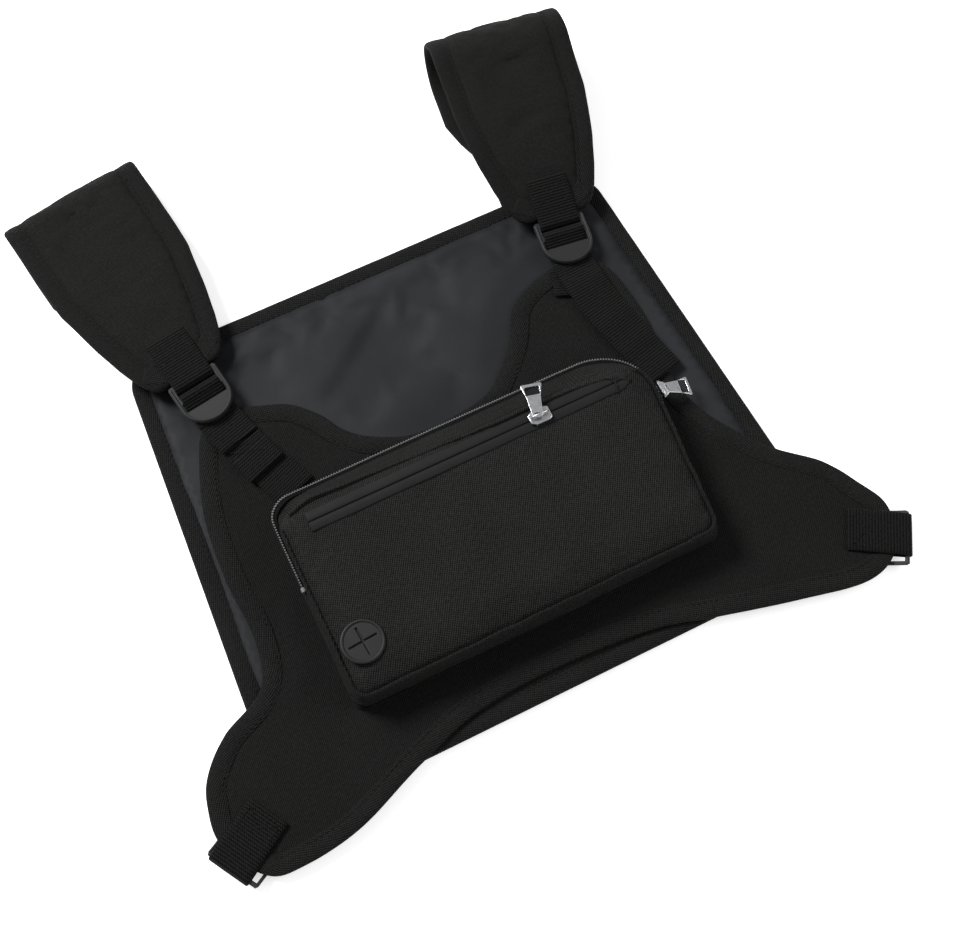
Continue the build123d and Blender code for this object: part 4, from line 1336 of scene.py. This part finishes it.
def make_face(seam):
    """The soft front face of the pocket, level where the front zip is sewn on it."""
    def face_top(x, y, gap):
        rim = seam_height(x, y)
        share = min(1.0, gap / 26)
        crown = (FACE_TOP + 0.4 - rim) * (1 - (1 - share) ** 2.2)
        dents = 0.55 * soft(x, y, 28, 1.7) + 0.35 * soft(x * 1.3, y * 0.8, 13, 3.9)
        pucker = 0.8 * soft(x * 2.0, y * 2.0, 13, 6.6) * max(0.0, 1 - gap / 15) * min(1.0, gap / 3)
        groove = 0.7 * max(0.0, 1 - abs(gap - 1.5) / 1.6) if y < 0 else 0.0
        strip = ramp(abs(y - FRONT_ZIP_Y) / 9 - 0.5)
        return rim + crown + (dents * share) * strip + pucker - groove

    def face_low(x, y, gap):
        return face_top(x, y, gap) - FACE_THICK

    front = pad("pocket_face", seam, 3.4, face_top, face_low, level, CANVAS, "canvas")
    simulate(front, 3.0, 0.6, 0.8, grow=0.012)
    settle_face(front)
    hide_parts("pocket_front", "pocket_divider")
    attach(front, "front_assembly")


def make_edging(base, face, seam):
    """The piping round the face, the seam at the pocket's foot and the stitches inside the piping."""
    corded = []
    seam_run = run_of(face, lambda p: p[1] < 0)
    for x, y in face[seam_run]:
        out = outward((x, y))
        reach = 0.7 + 0.7 * soft(x, y, 11, 1.1)
        corded.append(Vector((x + out.x * reach, y + out.y * reach, seam_height(x, y) + 0.25)))
    piping = tube("pocket_piping", corded, 1.2, EDGE_TAPE, "binding")
    foot = []
    for x, y in base:
        beyond = (y - POCKET_MIDDLE_Y) * FOOT_SPREAD + POCKET_MIDDLE_Y
        foot.append(Vector((x * FOOT_SPREAD, beyond, FOOT_HIGH + 0.15 + front_lift(x, y) * 0.5)))
    welt = tube("pocket_foot_seam", foot, 0.8, EDGE_TAPE, "binding", closed=True)
    ring = offset_loop(seam, 2.6)
    sewn = [(Vector((*ring[n], face_height(*ring[n]) + 0.15)), UP) for n in seam_run]
    top_stitch = stitches("pocket_face_stitches", [sewn], "canvas", 2.2, 1.0, 0.5, 0.12)
    ride_all("front_assembly", piping, welt, top_stitch)


def make_pocket():
    base, face = pocket_rings()
    seam = [(x, y) for x, y in face]
    make_walls(base, face)
    make_face(seam)
    make_edging(base, face, seam)
    make_main_zip(base, face)
    make_front_zip()
    make_port()


FACE_CEILING = node_top("pocket_front") + 0.1
FACE_POINTS = {}
STRIP_HALF = 8.5
STRIP_ENDS = (-97, 106)


def settle_face(front):
    """Keeps the face under the zip's metal, and keeps its heights for what is sewn on it."""
    co = coordinates(front.data)
    high = FACE_CEILING * MM
    over = co[:, 2] > high
    co[over, 2] = high + (co[over, 2] - high) * 0.25
    count = len(co) // 2
    flat = np.clip((STRIP_HALF - np.abs(co[:, 1] / MM - FRONT_ZIP_Y)) / 3, 0, 1)
    inside = (co[:, 0] / MM > STRIP_ENDS[0]) & (co[:, 0] / MM < STRIP_ENDS[1])
    level_at = np.where(np.arange(len(co)) < count, high - 0.1 * MM, high - 1.2 * MM)
    blend = np.where(inside, flat, 0)
    co[:, 2] = co[:, 2] * (1 - blend) + level_at * blend
    front.data.vertices.foreach_set("co", co.ravel())
    front.data.update()
    FACE_POINTS["xy"] = co[:count, :2] / MM
    FACE_POINTS["z"] = co[:count, 2] / MM


def face_height(x, y):
    """The face's height at a place, from its nearest points."""
    gap = ((FACE_POINTS["xy"] - (x, y)) ** 2).sum(1)
    near = np.argpartition(gap, 4)[:4]
    weight = 1 / (gap[near] + 0.5)
    return float((FACE_POINTS["z"][near] * weight).sum() / weight.sum())


def tooth(points, faces, cloth, place, along, out, up, size):
    """One bevelled zip tooth."""
    base = len(points)
    long, deep, high = size
    for lift, shrink in ((-high, 0.75), (-high * 0.5, 1.0), (high * 0.5, 1.0), (high, 0.6)):
        for a, b in ((-1, -1), (1, -1), (1, 1), (-1, 1)):
            points.append(place + along * a * long * shrink + out * b * deep * shrink + up * lift)
            cloth.append((0, 0))
    faces += grid_faces(4, 4, base=base)
    faces += [(base + 3, base + 2, base + 1, base), (base + 12, base + 13, base + 14, base + 15)]


def make_main_zip(base, face):
    """Two rows of teeth that meet along the pocket's edge."""
    line = []
    for n in run_of(base, has_zip):
        line.append(wall_point(base, face, n, ZIP_HIGH) + outward(base[n]).to_3d() * 0.75)
    path = resample(line, 0.8)
    points, faces, cloth = [], [], []
    for n in range(1, len(path) - 1):
        p = Vector(path[n])
        along = (Vector(path[n + 1]) - Vector(path[n - 1])).normalized()
        out = along.cross(UP).normalized()
        if out.xy.dot(outward(p)) < 0:
            out = -out
        row = 1 if n % 2 else -1
        tooth(points, faces, cloth, p + out * 0.1 + UP * row * 0.6, along, out, UP, (0.36, 0.5, 0.7))
    teeth = add_piece("main_zip_teeth_rows", points, faces, TEETH, "zip_teeth", cloth, smooth=False)
    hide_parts("main_zip_teeth")
    stop = tube("main_zip_stop", [path[-1], path[-4]], 1.5, TEETH, "zip_teeth")
    ride_all("front_assembly", teeth, stop)


FRONT_ZIP_Y = -3.6
FRONT_ZIP_FROM, FRONT_ZIP_TO = -95.0, 102.0
# where the loose band of cloth above the strip folds over it
BAND_CREASE = (
    (-103, 5.5), (-90, 9.0), (-77, 9.0), (-23, 6.2), (24, 3.9), (50, 3.6), (76, 2.4), (93, -0.5), (103, -6.5),
)


def make_front_zip():
    """Two coated tapes that meet in the middle of the strip, on the face."""
    low = node_top("front_zip_tape") - 0.75
    near, far = 0.2, 6.0
    xs = np.linspace(FRONT_ZIP_FROM, FRONT_ZIP_TO, 90)
    profile = (
        (near, -0.5), (near, 0.45), (near + 0.6, 0.72), (2.6, 0.62), (far - 1.0, 0.5), (far, 0.2),
        (far + 0.1, -0.5),
    )
    pieces = []
    for hand in (-1, 1):
        points, cloth = [], []
        for x in xs:
            taper = min(1.0, (FRONT_ZIP_TO - x + 4) / 9)
            wander = 0.35 * soft(x, hand, 26, 5.5)
            for reach, high in profile:
                wide = reach
                if reach > 1:
                    wide = near + (reach - near) * max(0.55, taper) + wander * (reach / far)
                points.append((x, FRONT_ZIP_Y + hand * wide, low + high + 0.12 * soft(x, reach, 11, hand)))
                cloth.append((x, hand * reach))
        faces = grid_faces(len(xs), len(profile), closed=False)
        pieces.append(add_piece(f"front_zip_tape_{hand}", points, faces, COATED_TAPE, "zip_tape", cloth))
    tape = joined("front_zip_tapes", pieces)
    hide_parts("front_zip_tape")
    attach(tape, "front_assembly")
    slot_ends = [(x, FRONT_ZIP_Y, low - 0.3) for x in (FRONT_ZIP_FROM + 2, FRONT_ZIP_TO - 2)]
    dark = ribbon(
        "front_zip_slot", slot_ends, Vector((0, 1, 0)), "front_assembly", 2.0, 0.4, "zip_tape", ZIP_TAPE,
    )
    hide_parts("front_zip_coil")
    tuck = [
        (FRONT_ZIP_TO - 12, FRONT_ZIP_Y + 5.0, low + 0.6), (FRONT_ZIP_TO - 8.5, FRONT_ZIP_Y + 2.5, low + 0.9),
        (FRONT_ZIP_TO - 7.5, FRONT_ZIP_Y - 1.5, low + 0.9), (FRONT_ZIP_TO - 9, FRONT_ZIP_Y - 6.2, low + 0.5),
    ]
    fold = tube("front_zip_tuck", smooth_line(tuck, 1.0), 0.7, CANVAS, "canvas")
    ridge = []
    for x, y, _ in smooth_line([(x, y, 0) for x, y in BAND_CREASE], 2.5):
        high = face_height(x, y) + 0.25 + 0.25 * soft(x, 3, 14, 2.0)
        ridge.append(Vector((x, y + 0.4 * soft(x, 0, 20, 2.2), high)))
    welt = tube("pocket_band_welt", [p + Vector((0, 0.7, 0)) for p in ridge], 1.15, CANVAS, "canvas")
    # painted shadow: a thin tube of dark zip tape cloth just below the welt stands in for the shade under the
    # band's fold
    shade_line = [p - Vector((0, 0.75, 0.35)) for p in ridge]
    shade = tube("pocket_band_painted_shadow", shade_line, 0.75, ZIP_TAPE, "zip_tape")
    ride_all("front_assembly", fold, welt, shade)


PORT = (-95.5, -77.0)
PORT_DISC = 10.9
PORT_RIM = 11.2
SLIT_HALF, SLIT_REACH = 0.55, 8.4


def circle(radius, count):
    return [(radius * cos(a), radius * sin(a)) for a in np.linspace(0, 2 * pi, count, endpoint=False)]


def make_port():
    """A rubber grommet with a raised rim and a cross slit."""
    high = node_top("earphone_port")
    centre = Vector((PORT[0], PORT[1], high - 1.35))
    disc = circle(PORT_DISC, 60)
    w, r = SLIT_HALF, SLIT_REACH
    quarter = ((w, w), (w, r), (-w, r))
    cross = []
    for c, s in ((1, 0), (0, 1), (-1, 0), (0, -1)):
        cross += [(x * c - y * s, x * s + y * c) for x, y in quarter]
    turn = Matrix.Rotation(radians(4), 4, "Z")
    look = (RUBBER, "port_rubber")
    face = plate("port_disc", [disc, cross], 1.3, 0.25, Matrix.Translation(centre) @ turn, *look)
    well = plate("port_well", [disc], 0.5, 0.1, Matrix.Translation(centre - UP * 0.9), *look)
    rim_points = [centre + Vector((x, y, 0.35)) for x, y in circle(PORT_RIM, 72)]
    rim = tube("port_rim", rim_points, 1.0, *look, closed=True, sides=16)
    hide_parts("earphone_port")
    ride_all("front_assembly", face, well, rim)


# ---------------------------------------------------------------- zip sliders and pulls
TAB_THICK = 1.25
SLIDER_THICK = 1.6


def pull_plate(name, root, reach, bar, lean, body, long):
    """A tapered tab, askew on its bail, with a window near its wide end and an eye at its root."""
    place = basis(root, bar, reach)
    half = [(2.2, -1.6), (3.2, -0.4), (3.35, 2.0), (4.1, long * 0.56), (6.1, long - 0.9), (5.5, long)]
    outline = half + [(-x, y) for x, y in half[::-1]]
    window = [(x, long - 4.2 + y) for x, y in rounded_box((-4.2, -2.6), (4.2, 2.4), 0.6, clockwise=True)]
    turn = atan2(lean, long)
    skewed = [
        [(x * cos(turn) + y * sin(turn), y * cos(turn) - x * sin(turn)) for x, y in loop]
        for loop in (outline, window)
    ]
    eye = rounded_box((-2.0, -0.9), (2.0, 1.7), 0.5, clockwise=True)
    tab = plate(name, [*skewed, eye], TAB_THICK, 0.32, place, METAL, "zip_metal")
    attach(tab, body)
    return tab


def slider_body(name, origin, along, across, up, body, length, width):
    """A slider: a shaped plate, a raised saddle and a flange along each side."""
    half, side = length / 2, width / 2
    outline = [(-half, -side * 0.55), (-half * 0.5, -side), (half * 0.7, -side), (half, -side * 0.75)]
    outline += [(x, -y) for x, y in outline[::-1]]
    place = basis(origin, along, across)
    top = plate(f"{name}_plate", [outline], SLIDER_THICK, 0.45, place, METAL, "zip_metal")
    ridge = [origin + along * half * t + up * (0.9 + 1.1 * (1 - t * t)) for t in np.linspace(-0.75, 0.75, 9)]
    saddle = tube(f"{name}_saddle", ridge, 1.05, METAL, "zip_metal", sides=12)
    pieces = [top, saddle]
    for t in (-1, 1):
        flange = [origin + along * half * s - up * 0.6 + across * t * side * 0.86 for s in (-0.6, 0.75)]
        pieces.append(tube(f"{name}_flange_{t}", flange, 0.75, METAL, "zip_metal"))
    whole = joined(name, pieces)
    whole.data.polygons.foreach_set("use_smooth", [len(p.vertices) == 4 for p in whole.data.polygons])
    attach(whole, body)
    return whole


def bail(name, origin, along, up, half, radius):
    """The wire loop on a slider that its pull hangs from. half is one side of it, from foot to crown."""
    route = [(-s, h) for s, h in half] + [(s, h) for s, h in half[::-1]]
    return tube(name, [origin + along * s + up * h for s, h in route], radius, METAL, "zip_metal")


def joint_place(name):
    """Where a joint is, in millimetres."""
    return Vector(next(j["pos_m"] for j in frame["joints"] if j["name"] == name)) / MM


def make_sliders():
    X, Y = Vector((1, 0, 0)), Vector((0, 1, 0))
    # front zip: slider across the strip, bail along it, pull thrown up the garment
    root = joint_place("front_zip_pull_flip")
    body = "front_zip_slider"
    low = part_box(body)[0].z / MM
    origin = Vector((root.x + 1.4, root.y, root.z - 3.3))
    slider = slider_body("front_slider", origin, X, Y, UP, body, 13.0, 8.8)
    loop = bail("front_slider_bail", origin, X, UP, ((4.8, 0.3), (4.8, 2.4), (4.0, 3.3)), 0.75)
    neck_ends = [origin - UP * 1, Vector((origin.x, origin.y, low + 0.6))]
    neck = tube("front_slider_neck", neck_ends, 0.5, METAL, "zip_metal")
    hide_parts(body)
    ride_all(body, loop, neck)
    pull = pull_plate("front_pull", root, Y, X, 4.8, "front_zip_pull", 19.0)
    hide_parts("front_zip_pull")

    # main zip: slider on the large corner, pull hanging outwards
    root = joint_place("main_zip_pull_flip")
    body = "main_zip_slider"
    origin = Vector((root.x - 2.6, root.y, root.z))
    slider = slider_body("main_slider", origin, Y, UP, X, body, 10.8, 5.8)
    loop = bail("main_slider_bail", origin, Y, X, ((4.0, 0.0), (4.0, 1.9), (3.3, 2.6)), 0.7)
    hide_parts(body)
    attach(loop, body)
    low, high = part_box("main_zip_pull")
    reach = Vector(((high.x / MM - root.x), 0, (low.z / MM - root.z) + 0.6)).normalized()
    pull = pull_plate("main_pull", root, reach, Y, -3.0, "main_zip_pull", 16.5)
    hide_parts("main_zip_pull")


# ---------------------------------------------------------------- the whole vest
make_camera()
make_studio()
front_outline = smooth_loop(FRONT_EDGE, 2.6)
make_back_panel(front_outline)
make_front_panel(front_outline)
for strap_side, strap_hand, strap_splay, strap_radius, strap_fold in STRAPS:
    strap_path = make_strap(strap_side, strap_hand, strap_splay, strap_radius, strap_fold)
    make_lock(strap_side, strap_hand, strap_splay, strap_path)
    make_side_loop(strap_side, strap_hand)
make_adjusters()
make_pocket()
make_sliders()
